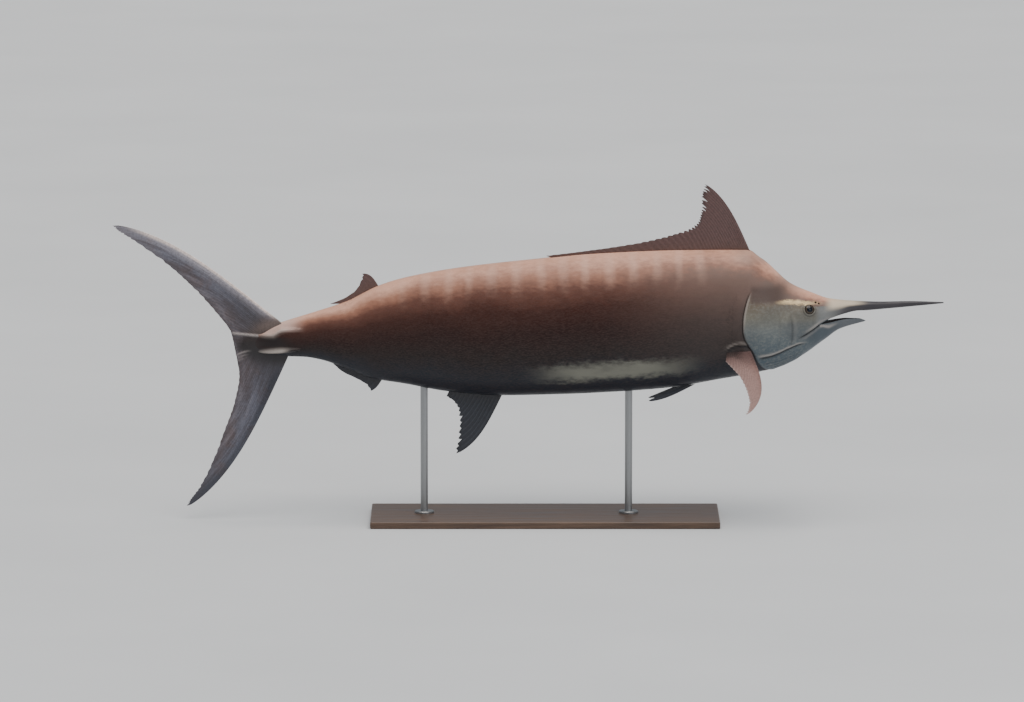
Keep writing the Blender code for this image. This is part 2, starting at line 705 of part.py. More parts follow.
def make_stand():
    """A flat base and two short rods that end against the belly."""
    bpy.ops.mesh.primitive_cube_add(size=1.0, location=(0.0, 0.0, BASE_THICKNESS / 2))
    base = bpy.context.object
    base.name = "stand_base"
    base.data.transform(Matrix.Diagonal((BASE_LENGTH, BASE_WIDTH, BASE_THICKNESS, 1.0)))
    bevel = base.modifiers.new("bevel", "BEVEL")
    bevel.width = BASE_BEVEL
    bevel.segments = 3
    finish(base, STAND_GREY, 0.5)
    for name, x in (("stand_rod_front", ROD_FRONT_X), ("stand_rod_rear", ROD_REAR_X)):
        top = curve_at(BELLY, x) + ROD_REACH
        foot = BASE_THICKNESS + GAP
        profile = [
            (ROD_FOOT_RADIUS, foot), (ROD_FOOT_RADIUS, foot + ROD_FOOT_HEIGHT * 0.7),
            (ROD_FOOT_RADIUS - 0.003, foot + ROD_FOOT_HEIGHT), (ROD_RADIUS, foot + ROD_FOOT_HEIGHT),
            (ROD_RADIUS, top),
        ]
        vertices, faces = [], []
        for radius, z in profile:
            for k in range(ROD_SIDES):
                turn = 2.0 * math.pi * k / ROD_SIDES
                vertices.append((x + radius * math.cos(turn), radius * math.sin(turn), z))
        for ring in range(len(profile) - 1):
            for k in range(ROD_SIDES):
                a, b = ring * ROD_SIDES + k, ring * ROD_SIDES + (k + 1) % ROD_SIDES
                faces.append((a, b, b + ROD_SIDES, a + ROD_SIDES))
        faces.append(tuple(range(ROD_SIDES)))
        last = (len(profile) - 1) * ROD_SIDES
        faces.append(tuple(last + k for k in range(ROD_SIDES)))
        finish(trimmed(new_object(name, vertices, faces)), ROD_STEEL, 0.25, 1.0)


def main():
    for leftover in list(bpy.data.objects):
        bpy.data.objects.remove(leftover)
    make_body()
    make_head()
    make_middle_fins()
    for side, word in ((RIGHT, "right"), (LEFT, "left")):
        make_gill_cover(f"gill_cover_{word}", side)
        make_pectoral(f"pectoral_fin_{word}", side)
        make_pelvic(f"pelvic_fin_{word}", side)
    make_stand()


main()
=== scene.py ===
import math
from functools import reduce

import bmesh
import bpy
import numpy as np
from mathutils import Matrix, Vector


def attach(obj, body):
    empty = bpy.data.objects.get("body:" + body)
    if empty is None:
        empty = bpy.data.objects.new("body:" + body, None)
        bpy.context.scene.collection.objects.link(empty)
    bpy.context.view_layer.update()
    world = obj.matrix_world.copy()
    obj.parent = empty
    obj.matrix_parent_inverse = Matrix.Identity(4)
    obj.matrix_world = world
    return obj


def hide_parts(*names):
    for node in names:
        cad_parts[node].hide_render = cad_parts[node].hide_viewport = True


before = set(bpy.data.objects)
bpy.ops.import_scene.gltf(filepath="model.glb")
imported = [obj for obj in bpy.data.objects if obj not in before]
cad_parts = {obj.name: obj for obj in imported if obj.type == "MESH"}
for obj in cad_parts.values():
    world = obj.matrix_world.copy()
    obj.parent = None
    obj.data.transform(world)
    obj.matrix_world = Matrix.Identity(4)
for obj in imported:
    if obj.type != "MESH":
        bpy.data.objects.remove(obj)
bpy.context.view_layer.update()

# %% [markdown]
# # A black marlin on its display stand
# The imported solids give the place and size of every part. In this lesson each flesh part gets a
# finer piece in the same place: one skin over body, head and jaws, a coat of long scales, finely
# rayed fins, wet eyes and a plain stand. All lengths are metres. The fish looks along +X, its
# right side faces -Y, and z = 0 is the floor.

rng = np.random.default_rng(7)


def pick_nothing():
    """Leave object mode with nothing selected, because operators act on all that is selected."""
    if bpy.context.mode != "OBJECT":
        bpy.ops.object.mode_set(mode="OBJECT")
    bpy.ops.object.select_all(action="DESELECT")


def smooth(edge0, edge1, x):
    """0 before edge0, 1 after edge1 and an easy slope between them."""
    t = np.clip((np.asarray(x, float) - edge0) / (edge1 - edge0), 0.0, 1.0)
    return t * t * (3.0 - 2.0 * t)


def bump(x, centre, width):
    """A soft hill, 1 at the centre."""
    return np.exp(-((np.asarray(x, float) - centre) / width) ** 2)


def curve(points, x):
    """A smooth curve through a few (x, value) points that never swings past them."""
    px, py = np.array(points, float).T
    x = np.clip(np.asarray(x, float), px[0], px[-1])
    slope = np.diff(py) / np.diff(px)
    before, after = slope[:-1], slope[1:]
    inner = np.where(before * after > 0, 2 * before * after / (before + after + 1e-30), 0.0)
    tangent = np.concatenate([slope[:1], inner, slope[-1:]])
    i = np.clip(np.searchsorted(px, x, side="right") - 1, 0, len(px) - 2)
    span = px[i + 1] - px[i]
    t = (x - px[i]) / span
    return (py[i] * (2 * t**3 - 3 * t**2 + 1) + py[i + 1] * (3 * t**2 - 2 * t**3)
            + span * tangent[i] * (t**3 - 2 * t**2 + t) + span * tangent[i + 1] * (t**3 - t**2))


# %% [markdown]
# ## Camera, floor and light
# The fish was seen square from its right side and from a little above. A long lens far away keeps
# both ends of a 3.6 m animal to one scale. The light is a wide soft sheet overhead, as daylight
# falls from the surface of the sea, with a weak fill from the front.

# %% Camera
LOOK_AT = Vector((-0.142, 0.0, 0.734))
DISTANCE, WIDTH_SEEN, RISE = 36.0, 4.403, math.radians(8.0)

bpy.ops.object.camera_add(
    location=LOOK_AT + DISTANCE * Vector((0.0, -math.cos(RISE), math.sin(RISE))),
    rotation=(math.pi / 2 - RISE, 0.0, 0.0))
camera = bpy.context.object
camera.data.sensor_width = 36.0
camera.data.lens = 36.0 * DISTANCE / WIDTH_SEEN
camera.data.clip_end = 400.0
bpy.context.scene.camera = camera

# %% Floor and lamps
pick_nothing()
bpy.ops.mesh.primitive_circle_add(vertices=64, radius=120.0, fill_type="NGON")
floor = bpy.context.object
floor.name = "floor"


def lamp(name, place, target, size, power, colour):
    """A round soft light that faces a target."""
    bpy.ops.object.light_add(type="AREA", location=place)
    light = bpy.context.object
    light.name = name
    light.rotation_euler = (Vector(target) - Vector(place)).to_track_quat("-Z", "Y").to_euler()
    light.data.shape = "DISK"
    light.data.size, light.data.energy, light.data.color = size, power, colour


bpy.ops.object.light_add(type="SUN", rotation=(math.radians(14.0), math.radians(8.0), 0.0))
daylight = bpy.context.object.data
daylight.energy, daylight.angle, daylight.color = 3.2, math.radians(60.0), (1.0, 0.94, 0.88)
lamp("front", (10.0, -12.0, 7.0), (0.0, 0.0, 0.8), 9.0, 340.0, (0.93, 0.97, 1.0))
world = bpy.data.worlds.new("soft daylight")
bpy.context.scene.world = world
world.use_nodes = True
world.node_tree.nodes["Background"].inputs["Color"].default_value = (0.78, 0.85, 0.92, 1.0)
world.node_tree.nodes["Background"].inputs["Strength"].default_value = 0.42
print("camera lens", round(camera.data.lens, 1), "mm from", DISTANCE, "m")

# %% [markdown]
# ## Finishes
# Each finish is a small graph of nodes. A painter's helper keeps the graphs short: it makes
# noise, ramps, masks and mixes, and remembers the material it works on. Its colours are given
# in thousandths.


# %% A painter for node graphs
def rgba(colour):
    """A colour that is given in thousandths."""
    return (*(part / 1000 for part in colour), 1.0)


class Painter:
    """Builds one material. What most of its methods return is an output socket."""

    def __init__(self, name, roughness=0.5, metallic=0.0, coat=0.0, specular=0.5):
        self.material = bpy.data.materials.new(name)
        self.material.use_nodes = True
        self.tree = self.material.node_tree
        self.shader = self.tree.nodes["Principled BSDF"]
        for socket, value in (("Roughness", roughness), ("Metallic", metallic),
                              ("Coat Weight", coat), ("Specular IOR Level", specular)):
            self.shader.inputs[socket].default_value = value
        self.place = self.node("TexCoord").outputs["Object"]

    def put(self, socket, value):
        """Link a socket, or set it to a plain value."""
        if isinstance(value, bpy.types.NodeSocket):
            self.tree.links.new(value, socket)
        else:
            socket.default_value = rgba(value) if socket.type == "RGBA" else value

    def node(self, kind, inputs=(), **settings):
        """A new node with its settings, and inputs as (name or number, value) pairs."""
        node = self.tree.nodes.new("ShaderNode" + kind)
        for key, value in settings.items():
            setattr(node, key, value)
        for key, value in inputs:
            self.put(node.inputs[key], value)
        return node

    def axis(self, name):
        """One object coordinate."""
        return self.node("SeparateXYZ", [(0, self.place)]).outputs[name]

    def mark(self, name):
        """A value that the mesh carries at each corner."""
        return self.node("Attribute", attribute_name=name).outputs["Fac"]

    def noise(self, scale, stretch=(1, 1, 1), detail=3.0, roughness=0.55, place=None):
        """Noise over stretched object coordinates, or over another place."""
        if place is None:
            place = self.node("Mapping", [("Vector", self.place), ("Scale", stretch)]).outputs[0]
        return self.node("TexNoise", [("Vector", place), ("Scale", scale), ("Detail", detail),
                                      ("Roughness", roughness)]).outputs["Fac"]

    def math(self, how, *values):
        return self.node("Math", enumerate(values), operation=how).outputs[0]

    def total(self, *values):
        return reduce(lambda a, b: self.math("ADD", a, b), values)

    def times(self, *values):
        return reduce(lambda a, b: self.math("MULTIPLY", a, b), values)

    def sway(self, noise, swing):
        """A noise that swings about zero."""
        return self.math("MULTIPLY_ADD", noise, swing, -swing / 2)

    def between(self, value, low, high, out_low=0.0, out_high=1.0):
        """A value eased from out_low to out_high as it goes from low to high."""
        return self.node("MapRange", enumerate((value, low, high, out_low, out_high)),
                         interpolation_type="SMOOTHSTEP").outputs[0]

    def ramp(self, value, stops):
        """A colour from a few (place, colour) stops."""
        node = self.node("ValToRGB", [(0, value)])
        line = node.color_ramp.elements
        while len(line) < len(stops):
            line.new(0.5)
        for element, (place, colour) in zip(line, stops):
            element.position, element.color = place, rgba(colour)
        return node.outputs["Color"]

    def mix(self, share, a, b):
        return self.node("Mix", [(0, share), (6, a), (7, b)], data_type="RGBA").outputs[2]

    def lay(self, colour, *patches):
        """Lay patches over a colour, each (share, paint, masks...). A mask is a socket, or a tuple
        of what between() takes."""
        for share, paint, *masks in patches:
            masks = [self.between(*mask) if isinstance(mask, tuple) else mask for mask in masks]
            colour = self.mix(self.times(share, *masks), colour, paint)
        return colour

    def relief(self, height, strength, depth):
        """Bump from a height."""
        node = self.node("Bump", [("Strength", strength), ("Distance", depth), ("Height", height)])
        self.put(self.shader.inputs["Normal"], node.outputs["Normal"])

    def colour(self, value):
        self.put(self.shader.inputs["Base Color"], value)

    def gloss(self, value):
        self.put(self.shader.inputs["Roughness"], value)


plaster = Painter("pale floor", roughness=0.9)
plaster.colour(plaster.ramp(plaster.noise(0.6), [
    (0.3, (600, 620, 640)), (0.7, (640, 660, 680))]))
floor.data.materials.append(plaster.material)

# %% [markdown]
# ## The fish's lines
# A fish's body is easy to draw as a row of upright ovals. Five lines give each oval: the back,
# the belly, the level of the widest point, the half-width and the roundness. They are the same
# lines as the solids', so the skin lies where the solids lie, a millimetre inside them to leave
# room for the scales.

# %% Body lines
BACK = [(-1.299, 0.764), (-1.247, 0.804), (-1.191, 0.839), (-1.135, 0.860), (-0.985, 0.907),
        (-0.856, 0.950), (-0.718, 1.018), (-0.602, 1.054), (-0.370, 1.097), (-0.065, 1.132),
        (0.236, 1.158), (0.581, 1.172), (0.860, 1.174), (0.933, 1.135), (1.058, 1.028),
        (1.148, 0.989), (1.217, 0.965), (1.307, 0.955), (1.440, 0.950), (1.570, 0.952),
        (1.714, 0.948)]
BELLY = [(-1.299, 0.749), (-1.247, 0.731), (-1.191, 0.716), (-1.101, 0.710), (-1.036, 0.708),
         (-0.968, 0.697), (-0.843, 0.654), (-0.752, 0.617), (-0.602, 0.592), (-0.417, 0.559),
         (-0.194, 0.542), (0.065, 0.547), (0.323, 0.559), (0.550, 0.578), (0.740, 0.611),
         (0.933, 0.647), (1.049, 0.686), (1.122, 0.727), (1.195, 0.780), (1.264, 0.830),
         (1.346, 0.856), (1.378, 0.864)]
WIDEST = [(-1.299, 0.7565), (-1.135, 0.785), (-0.680, 0.822), (-0.060, 0.845), (0.550, 0.880),
          (0.900, 0.895), (1.050, 0.862), (1.148, 0.868), (1.204, 0.893), (1.260, 0.907),
          (1.310, 0.924), (1.400, 0.933), (1.570, 0.941), (1.714, 0.945)]
HALF_WIDTH = [(-1.299, 0.006), (-1.260, 0.014), (-1.200, 0.025), (-1.135, 0.034),
              (-1.036, 0.045), (-0.910, 0.062), (-0.680, 0.099), (-0.420, 0.135),
              (-0.060, 0.160), (0.240, 0.168), (0.550, 0.170), (0.800, 0.164), (0.930, 0.149),
              (1.050, 0.115), (1.130, 0.089), (1.190, 0.068), (1.260, 0.048), (1.310, 0.034),
              (1.400, 0.022), (1.570, 0.0125), (1.714, 0.003)]
UPPER_ROUND = [(-1.30, 0.95), (-0.90, 1.0), (0.60, 1.06), (1.05, 1.0), (1.71, 1.0)]
FRONT_ROUND = [(1.10, 0.45), (1.31, 0.60), (1.40, 0.90), (1.71, 1.0)]
LIP_LINE = [(1.049, 0.770), (1.084, 0.798), (1.109, 0.810), (1.148, 0.834), (1.180, 0.857),
            (1.204, 0.873), (1.243, 0.888), (1.290, 0.902), (1.337, 0.912), (1.406, 0.917),
            (1.570, 0.930), (1.714, 0.942)]
JAW_LIP = [(1.180, 0.8565), (1.226, 0.864), (1.264, 0.872), (1.299, 0.876), (1.346, 0.876),
           (1.378, 0.868)]
JAW_WIDTH = [(1.180, 0.97), (1.230, 0.84), (1.310, 0.62), (1.378, 0.20)]
GILL_EDGE = [(-90, 1.014), (-86, 1.007), (-80, 0.987), (-72, 0.962), (-63, 0.940), (-45, 0.908),
             (-36, 0.897), (-27, 0.877), (-18, 0.857), (-9, 0.849), (0, 0.851), (18, 0.869),
             (26, 0.882)]  # degrees up the section, x
EYE_X, EYE_DEG = 1.133, 27.0
SIDES = (("right", -1.0), ("left", 1.0))
CORNER_X, COAT_DEPTH = 1.180, 0.0012
LOW, HIGH = 34, 52  # mesh steps from the belly's middle to the lip, and from the lip to the back


def power(value, p):
    return np.sign(value) * np.abs(value) ** p


def oval(x, angle, grow=0.0):
    """Points of the body's oval sections. Angle 0 is the left flank, 90 degrees the back."""
    widest, half = curve(WIDEST, x), curve(HALF_WIDTH, x) * (0.4 + 0.6 * smooth(-1.300, -1.215, x))
    up, across = np.sin(angle), np.cos(angle)
    p = np.where(up > 0, curve(UPPER_ROUND, x), 0.93)
    height = np.where(up > 0, curve(BACK, x) - widest, widest - curve(BELLY, x)) + grow
    thin = 1.1 * smooth(-1.11, -1.25, x)  # the stalk's end thins out into the tail fin
    out = 0.85 * power(across, p + thin) + 0.15 * power(across, p)
    return np.stack([x + 0 * angle, (half + grow) * out, widest + height * power(up, p)], -1)


def lip_angle(x):
    """Angle of the mouth's line on the section, and of a steady line behind it."""
    widest = curve(WIDEST, x)
    share = (widest - curve(LIP_LINE, x)) / (widest - curve(BELLY, np.minimum(x, 1.2)))
    mouth = -np.arcsin(np.clip(share, 0.0, 1.0) ** (1.0 / 0.93))
    return mouth + (math.radians(-40.0) - mouth) * smooth(1.084, 0.92, x)


print("length over all", round(BACK[-1][0] - BACK[0][0], 3), "m, without the tail's lobes")

# %% [markdown]
# ## One skin
# The trunk, the upper jaw with its bill, and the lower jaw are three grids that share their edge
# vertices at the corner of the mouth. Each starts as a grid primitive that is rolled round the
# ovals, and welding the three makes one closed skin with a real mouth between the jaws. Relief
# that a hand would feel is moved in the vertices: the free flap over the gills, the folds of the
# throat, the keels on the tail stalk, the groove that the back fin folds into.


# %% Rows round the body
def around(x):
    """Angles round the section for every mesh line, from the belly up the left side and back."""
    lip = lip_angle(x)[:, None]
    near = 0.25 + 0.75 * smooth(0.6, 1.0, x)[:, None]  # rows crowd towards the mouth on the head
    t = 1.0 - np.arange(LOW)[None, :] / LOW
    low = lip - (lip + math.pi / 2) * t ** (1.0 + 0.5 * near)
    t = np.arange(HIGH + 1)[None, :] / HIGH
    high = lip + (math.pi / 2 - lip) * t ** (1.0 + 0.3 * near)
    left = np.concatenate([low, high], 1)
    return np.concatenate([left, math.pi - left[:, -2::-1]], 1)


def side_of(angle):
    """The same angle measured on the left side, in degrees, for both sides."""
    return np.degrees(np.arcsin(np.clip(np.sin(angle), -1.0, 1.0)))


def gill_window(deg):
    """1 where the gill cover has a free edge, 0 above and below it."""
    return smooth(-86.0, -74.0, deg) * smooth(26.0, 13.0, deg)


# %% Relief over the trunk
THROAT_LINE = [(0.88, -44.0), (0.96, -42.5), (1.006, -39.2), (1.041, -35.6), (1.084, -34.0),
               (1.13, -40.0)]
KEELS = ([(-1.34, 0.811), (-1.30, 0.807), (-1.20, 0.801), (-1.168, 0.803), (-1.128, 0.825),
          (-1.035, 0.834)], [(-1.245, 0.734), (-1.127, 0.741), (-1.050, 0.748)])
NOSTRILS = [(1.174, 44.0, 0.0048), (1.160, 46.0, 0.0060)]  # x, degrees, radius


def trunk_relief(x, angle, z):
    """Height over the plain oval, its painted shade in creases and painted highlights on ridges.
    """
    deg = side_of(angle)
    ahead = x - curve(GILL_EDGE, deg)
    window, throat_line, lip = gill_window(deg), curve(THROAT_LINE, x), np.degrees(lip_angle(x))
    throat = smooth(0.0, 0.03, ahead) * smooth(1.13, 1.08, x)
    cheek = smooth(0.0, 0.03, ahead) * smooth(1.17, 1.10, x) * gill_window(deg + 8.0)
    cheek = cheek * smooth(2.0, 9.0, deg - throat_line)
    bone = 1.005 + 0.055 * np.cos(np.radians(deg + 10.0)) ** 2
    folds = np.cos(np.radians((deg + 50.0) * 60.0))
    fold_share = throat * smooth(-47.0, -52.0, deg) * smooth(-86.0, -76.0, deg)
    armpit = smooth(0.765, 0.790, x) * smooth(0.893, 0.878, x) * smooth(-0.002, -0.010, ahead)
    arc = -30.5 + 5.5 * np.cos((x - 0.832) * 24.0)
    back_groove = smooth(-0.10, 0.20, x) * smooth(0.915, 0.885, x)
    height = (0.0068 * smooth(0.20, 0.0, ahead) * window * (ahead > 0)
              + 0.0030 * bump(ahead, -0.030, 0.016) * window + 0.0013 * folds * fold_share
              + 0.0075 * bump(deg, -32.0, 6.0) * armpit)
    # painted shade in the valleys of the throat's folds
    crease, pale = 0.30 * smooth(0.0, -1.0, folds) * fold_share, 0.0 * height
    # grooves, each with painted shade along it: (distance, width, depth, share, shade)
    for away, width, depth, share, dark in (
            (x - bone, 0.0042, 0.0020, cheek, 0.32),
            (x - bone + 0.055, 0.0045, 0.0010, cheek, 0.12),
            (deg - throat_line, 1.7, 0.0038, throat, 0.85),
            (deg - lip, 1.7, 0.0036, smooth(1.075, 1.115, x), 0.90),
            (deg - arc, 1.5, 0.0032, armpit, 0.90),
            (deg - 90.0, 2.2, 0.0045, back_groove, 0.45)):
        line = bump(away, 0.0, width) * share
        height -= depth * line
        crease = np.maximum(crease, dark * line)
    # ridges, each with a painted highlight along it: (distance, width, rise, share, highlight)
    for away, width, rise, share, light in (
            (x - bone - 0.012, 0.009, 0.0020, cheek, 0.08),
            (deg - throat_line - 3.4, 1.8, 0.0010, throat, 0.60),
            (deg - lip - 5.5, 3.0, 0.0022, smooth(1.10, 1.15, x), 0.42),
            (deg - lip + 5.0, 3.0, 0.0018, smooth(1.08, 1.13, x), 0.15),
            (deg - arc - 3.0, 1.3, 0.0010, armpit, 0.45),
            (ahead - 0.0025, 0.0028, 0.0, smooth(-14.0, 2.0, deg) * window, 0.50),
            (deg - 84.5, 2.2, 0.0035, back_groove, 0.0)):
        line = bump(away, 0.0, width) * share
        height += rise * line
        pale = np.maximum(pale, light * line)
    # keels on the stalk, with a painted highlight along each crest
    for keel, light in zip(KEELS, (0.55, 0.85)):
        share = np.clip((-1.04 - x) / 0.21, 0.0, 1.0)
        swell = np.sin(math.pi * share) ** 0.8
        line = swell * bump(z, curve(keel, x), 0.0020 + 0.0075 * swell)
        height += 0.0200 * line
        faded = smooth(0.20, 0.45, share) * smooth(1.0, 0.85, share)
        pale = np.maximum(pale, light * line * faded)
    eye = np.hypot((x - EYE_X) / 0.031, (deg - EYE_DEG) / 14.6)
    height -= 0.0065 * smooth(0.95, 0.35, eye)
    height += 0.0030 * bump(eye, 1.45, 0.35) * smooth(27.0, 38.0, deg)
    for nose_x, nose_deg, r in NOSTRILS:
        away = np.hypot((x - nose_x) / r, (deg - nose_deg) * 0.0020 / r)
        height -= 0.0100 * smooth(1.5, 0.5, away)
    return height, crease, pale


def out_of(points):
    """Outward directions of a rolled grid of points."""
    along = np.gradient(points, axis=0)
    across = np.gradient(points, axis=1)
    across[:, 0] = across[:, -1] = points[:, 1] - points[:, -2]
    normal = np.cross(across, along)
    return normal / np.maximum(np.linalg.norm(normal, axis=2, keepdims=True), 1e-12)


def stations():
    """Where the rings stand: close together on the stalk and closest on the head."""
    return np.concatenate([np.arange(-1.296, -0.95, 0.0055), np.arange(-0.95, 0.79, 0.0125),
                           np.linspace(0.79, CORNER_X, 166)])


def trunk_points():
    """The trunk's rings. Those at the gill cover's edge bend to follow it and roll under it."""
    x = stations()
    angle = around(x)
    deg = side_of(angle)
    window = gill_window(deg)
    edge_ring = int(np.argmin(np.abs(x - 0.90)))
    pull = bump(x, x[edge_ring], np.where(x < x[edge_ring], 0.075, 0.14))[:, None]
    pull = pull * smooth(0.72, 0.79, x)[:, None] * smooth(CORNER_X, CORNER_X - 0.08, x)[:, None]
    shift = (curve(GILL_EDGE, deg) - x[edge_ring]) * pull
    shift *= 1.0 - smooth(20.0, 40.0, deg)
    xs = x[:, None] + shift
    base = oval(xs, angle, -COAT_DEPTH)
    height, crease, pale = trunk_relief(xs, angle, base[..., 2])
    # rings at the flap's edge: (ring, move forwards, height, painted shade); the flap overhangs
    # its slot
    for ring, ahead, level, dark in (
            (1, 0.001, 0.0066, 0.0), (0, -0.0035, 0.0045, 0.1), (-1, 0.001, 0.0012, 0.6),
            (-2, 0.010, -0.0010, 1.0), (-3, 0.011, -0.0042, 1.0), (-4, 0.000, -0.0030, 0.8)):
        i = edge_ring + ring
        wanted = curve(GILL_EDGE, deg[i]) + ahead
        xs[i] += (wanted - xs[i]) * window[i]
        height[i] += (level - height[i]) * window[i]
        crease[i] = np.maximum(crease[i], dark * window[i])
    points = oval(xs, angle, -COAT_DEPTH)
    points += out_of(base) * height[..., None]
    return points, angle, crease, pale


trunk, trunk_angle, trunk_crease, trunk_ridge_highlight = trunk_points()
print("trunk", trunk.shape[0], "rings of", trunk.shape[1] - 1, "points")

# %% [markdown]
# In front of the mouth's corner each ring splits. The upper ring runs over the snout from lip to
# lip and back across the roof of the mouth, and the lower ring runs under the jaw and back across
# its floor. The two meet in one line, bowed back into the head, so the open mouth has a depth.


# %% Jaws
INSIDE = 24  # mesh steps across the mouth
JAW_END, JAW_TIP = 1.366, 0.01201  # where the lower jaw's end rounds off, and how far


def mouth_row(x, left, sink):
    """Points across the mouth from the left lip to the right one, sunk and set back."""
    u = np.linspace(1.0, -1.0, INSIDE + 1)[None, :]
    hollow, back = 1.0 - np.abs(u) ** 2.4, 0.060 * smooth(1.30, CORNER_X, x)[:, None]
    return np.stack([x[:, None] - back * hollow, left[:, 1:2] * u,
                     left[:, 2:3] + sink[:, None] * hollow], -1)


def upper_rings(last):
    """The upper jaw and bill, eased out of the trunk's last ring."""
    x = np.concatenate([np.linspace(CORNER_X, 1.40, 74), np.linspace(1.40, 1.712, 52)[1:]])
    angle = around(np.full(len(x), CORNER_X))[:, LOW:-LOW]
    free = oval(x[:, None], angle, -COAT_DEPTH)
    p, widest, half, lip = (curve(line, x)[:, None] for line in
                            (FRONT_ROUND, WIDEST, HALF_WIDTH, LIP_LINE))
    corner = math.radians(-52.0)
    below = corner * np.clip(np.sin(angle) / np.sin(angle[:, :1]), 0.0, 1.0)
    under = np.stack([free[..., 0],
                      (half - COAT_DEPTH / 2) * np.cos(below) ** p * np.sign(np.cos(angle)),
                      widest - (widest - lip) * (np.sin(below) / math.sin(corner)) ** p], -1)
    shaped = np.where(np.sin(angle)[..., None] < 0, under, free)
    share = smooth(CORNER_X, CORNER_X + 0.05, x)[:, None, None]
    rings = (1.0 - share) * (free + (last[LOW:-LOW] - free[0])) + share * shaped
    from_lip = HIGH - np.abs(np.arange(2 * HIGH + 1) - HIGH)
    swell = 0.0016 * bump(from_lip, 0, 1.6) * smooth(1.42, 1.30, x)[:, None]
    rings[..., 1] += swell * np.sign(rings[..., 1])
    vault = 0.012 * smooth(1.36, 1.22, x) - 0.30 * rings[:, 0, 1] * smooth(1.30, 1.40, x)
    return rings, mouth_row(x, rings[:, 0], vault)


def lower_rings(last):
    """The lower jaw, eased out of the trunk's last ring, with a rounded tip."""
    x = np.concatenate([np.linspace(CORNER_X, JAW_END, 66),
                        JAW_END + 0.012 * np.sin(np.linspace(0.2, 1.55, 8))])
    bottom, lip, widest, half, narrow = (curve(line, x)[:, None] for line in
                                         (BELLY, JAW_LIP, WIDEST, HALF_WIDTH, JAW_WIDTH))
    steps = np.arange(-LOW, LOW + 1) / LOW
    a = np.abs(steps) * math.pi / 2
    wide = half * np.sqrt(np.maximum(1.0 - ((widest - lip) / (widest - bottom)) ** 2, 0.0))
    wide = np.maximum(wide, (lip - bottom) * 0.5) * narrow
    y = np.sign(steps) * (wide * np.sin(a) ** 0.85 + 0.0012 * bump(np.abs(steps), 0.90, 0.10))
    z = lip - (lip - bottom) * np.cos(a) ** 0.80
    past = np.maximum(x - JAW_END, 0.0)[:, None] / JAW_TIP
    tip, middle = np.sqrt(np.maximum(1.0 - past**2, 0.0)), (lip + bottom) / 2
    rings = np.stack([x[:, None] + 0.0 * y, y * tip, middle + (z - middle) * tip], -1)
    start = np.concatenate([last[-LOW - 1:-1], last[:LOW + 1]])
    rings += smooth(CORNER_X + 0.045, CORNER_X, x)[:, None, None] * (start - rings[0])
    return rings, mouth_row(x, rings[:, -1], -0.016 * smooth(1.37, 1.30, x))


def jaw_grids():
    """Closed rings of the upper jaw with its bill, and of the lower jaw."""
    upper, roof = upper_rings(trunk[-1])
    lower, bed = lower_rings(trunk[-1])
    roof[0] = bed[0] = mouth_row(np.array([CORNER_X]), upper[:1, 0], np.array([-0.003]))[0]
    roof[:, 0], roof[:, -1] = upper[:, 0], upper[:, -1]
    bed[:, 0], bed[:, -1] = lower[:, -1], lower[:, 0]
    return np.concatenate([upper, roof[:, -2::-1]], 1), np.concatenate([lower, bed[:, 1:]], 1)


upper_jaw, lower_jaw = jaw_grids()
print("upper jaw", upper_jaw.shape[:2], "lower jaw", lower_jaw.shape[:2])


# %% Rolling the grids and welding them
def carry(mesh, marks):
    """Give a mesh named values, one for each vertex."""
    for name, values in marks.items():
        values = np.ascontiguousarray(values, float).reshape(-1)
        mesh.attributes.new(name, "FLOAT", "POINT").data.foreach_set("value", values)


def rolled(name, points, marks):
    """A grid primitive whose vertices are put on the points; marks are values it carries."""
    pick_nothing()
    rows, columns = points.shape[:2]
    bpy.ops.mesh.primitive_grid_add(x_subdivisions=columns - 1, y_subdivisions=rows - 1, size=1.0)
    piece = bpy.context.object
    piece.name = name
    piece.data.vertices.foreach_set("co", points.reshape(-1))
    carry(piece.data, marks)
    return piece


def weld(pieces, name, distance=1e-6):
    """Join the pieces to one mesh, merge what they share, close caps, face outwards."""
    pick_nothing()
    for piece in pieces:
        piece.select_set(True)
    bpy.context.view_layer.objects.active = pieces[0]
    if len(pieces) > 1:
        bpy.ops.object.join()
    whole = bpy.context.object
    whole.name = whole.data.name = name
    bpy.ops.object.mode_set(mode="EDIT")
    bpy.ops.mesh.select_all(action="SELECT")
    bpy.ops.mesh.remove_doubles(threshold=distance)
    bpy.ops.mesh.fill_holes(sides=400)
    bpy.ops.mesh.normals_make_consistent(inside=False)
    if bmesh.from_edit_mesh(whole.data).calc_volume(signed=True) < 0.0:
        bpy.ops.mesh.flip_normals()  # a very thin shape can be taken for its own inside
    bpy.ops.object.mode_set(mode="OBJECT")
    bpy.ops.object.shade_smooth_by_angle(angle=math.radians(55.0))
    return whole


def body_marks(x, angle, crease=0.0, pale=0.0):
    """Level on the flank from -1 under the belly to 1 on the back, the gill cover's share, and
    the relief's painted shade in creases and painted highlights on ridges."""
    deg = side_of(angle)
    top = 22.0 + 13.0 * smooth(0.93, 1.10, x)
    cover = smooth(-0.003, 0.004, x - curve(GILL_EDGE, deg)) * smooth(top + 3.0, top - 3.0, deg)
    return {"level": np.sin(angle), "cover": cover, "inside": 0.0 * deg, "bill": 0.0 * deg,
            "crease": crease + 0.0 * deg, "pale": pale + 0.0 * deg}


def jaw_marks(points, outside, level, bill, lip_light):
    """The same marks for a jaw: outside is how many of its ring's points are outer skin."""
    inside, pale = np.zeros((2, *points.shape[:2]))
    inside[:, outside:] = smooth(1.0, 0.80, np.abs(np.linspace(1.0, -1.0, INSIDE + 1)))[1:]
    pale[:, :outside] = lip_light * smooth(1.27, 1.21, points[:, :outside, 0])
    low, high = np.sin(np.radians([32.0, 38.0]))  # the cover's colour ends between these levels
    return {"level": level, "cover": smooth(high, low, level), "inside": inside,
            "bill": bill * smooth(1.20, 1.31, points[..., 0]), "crease": 0.0 * inside,
            "pale": pale}


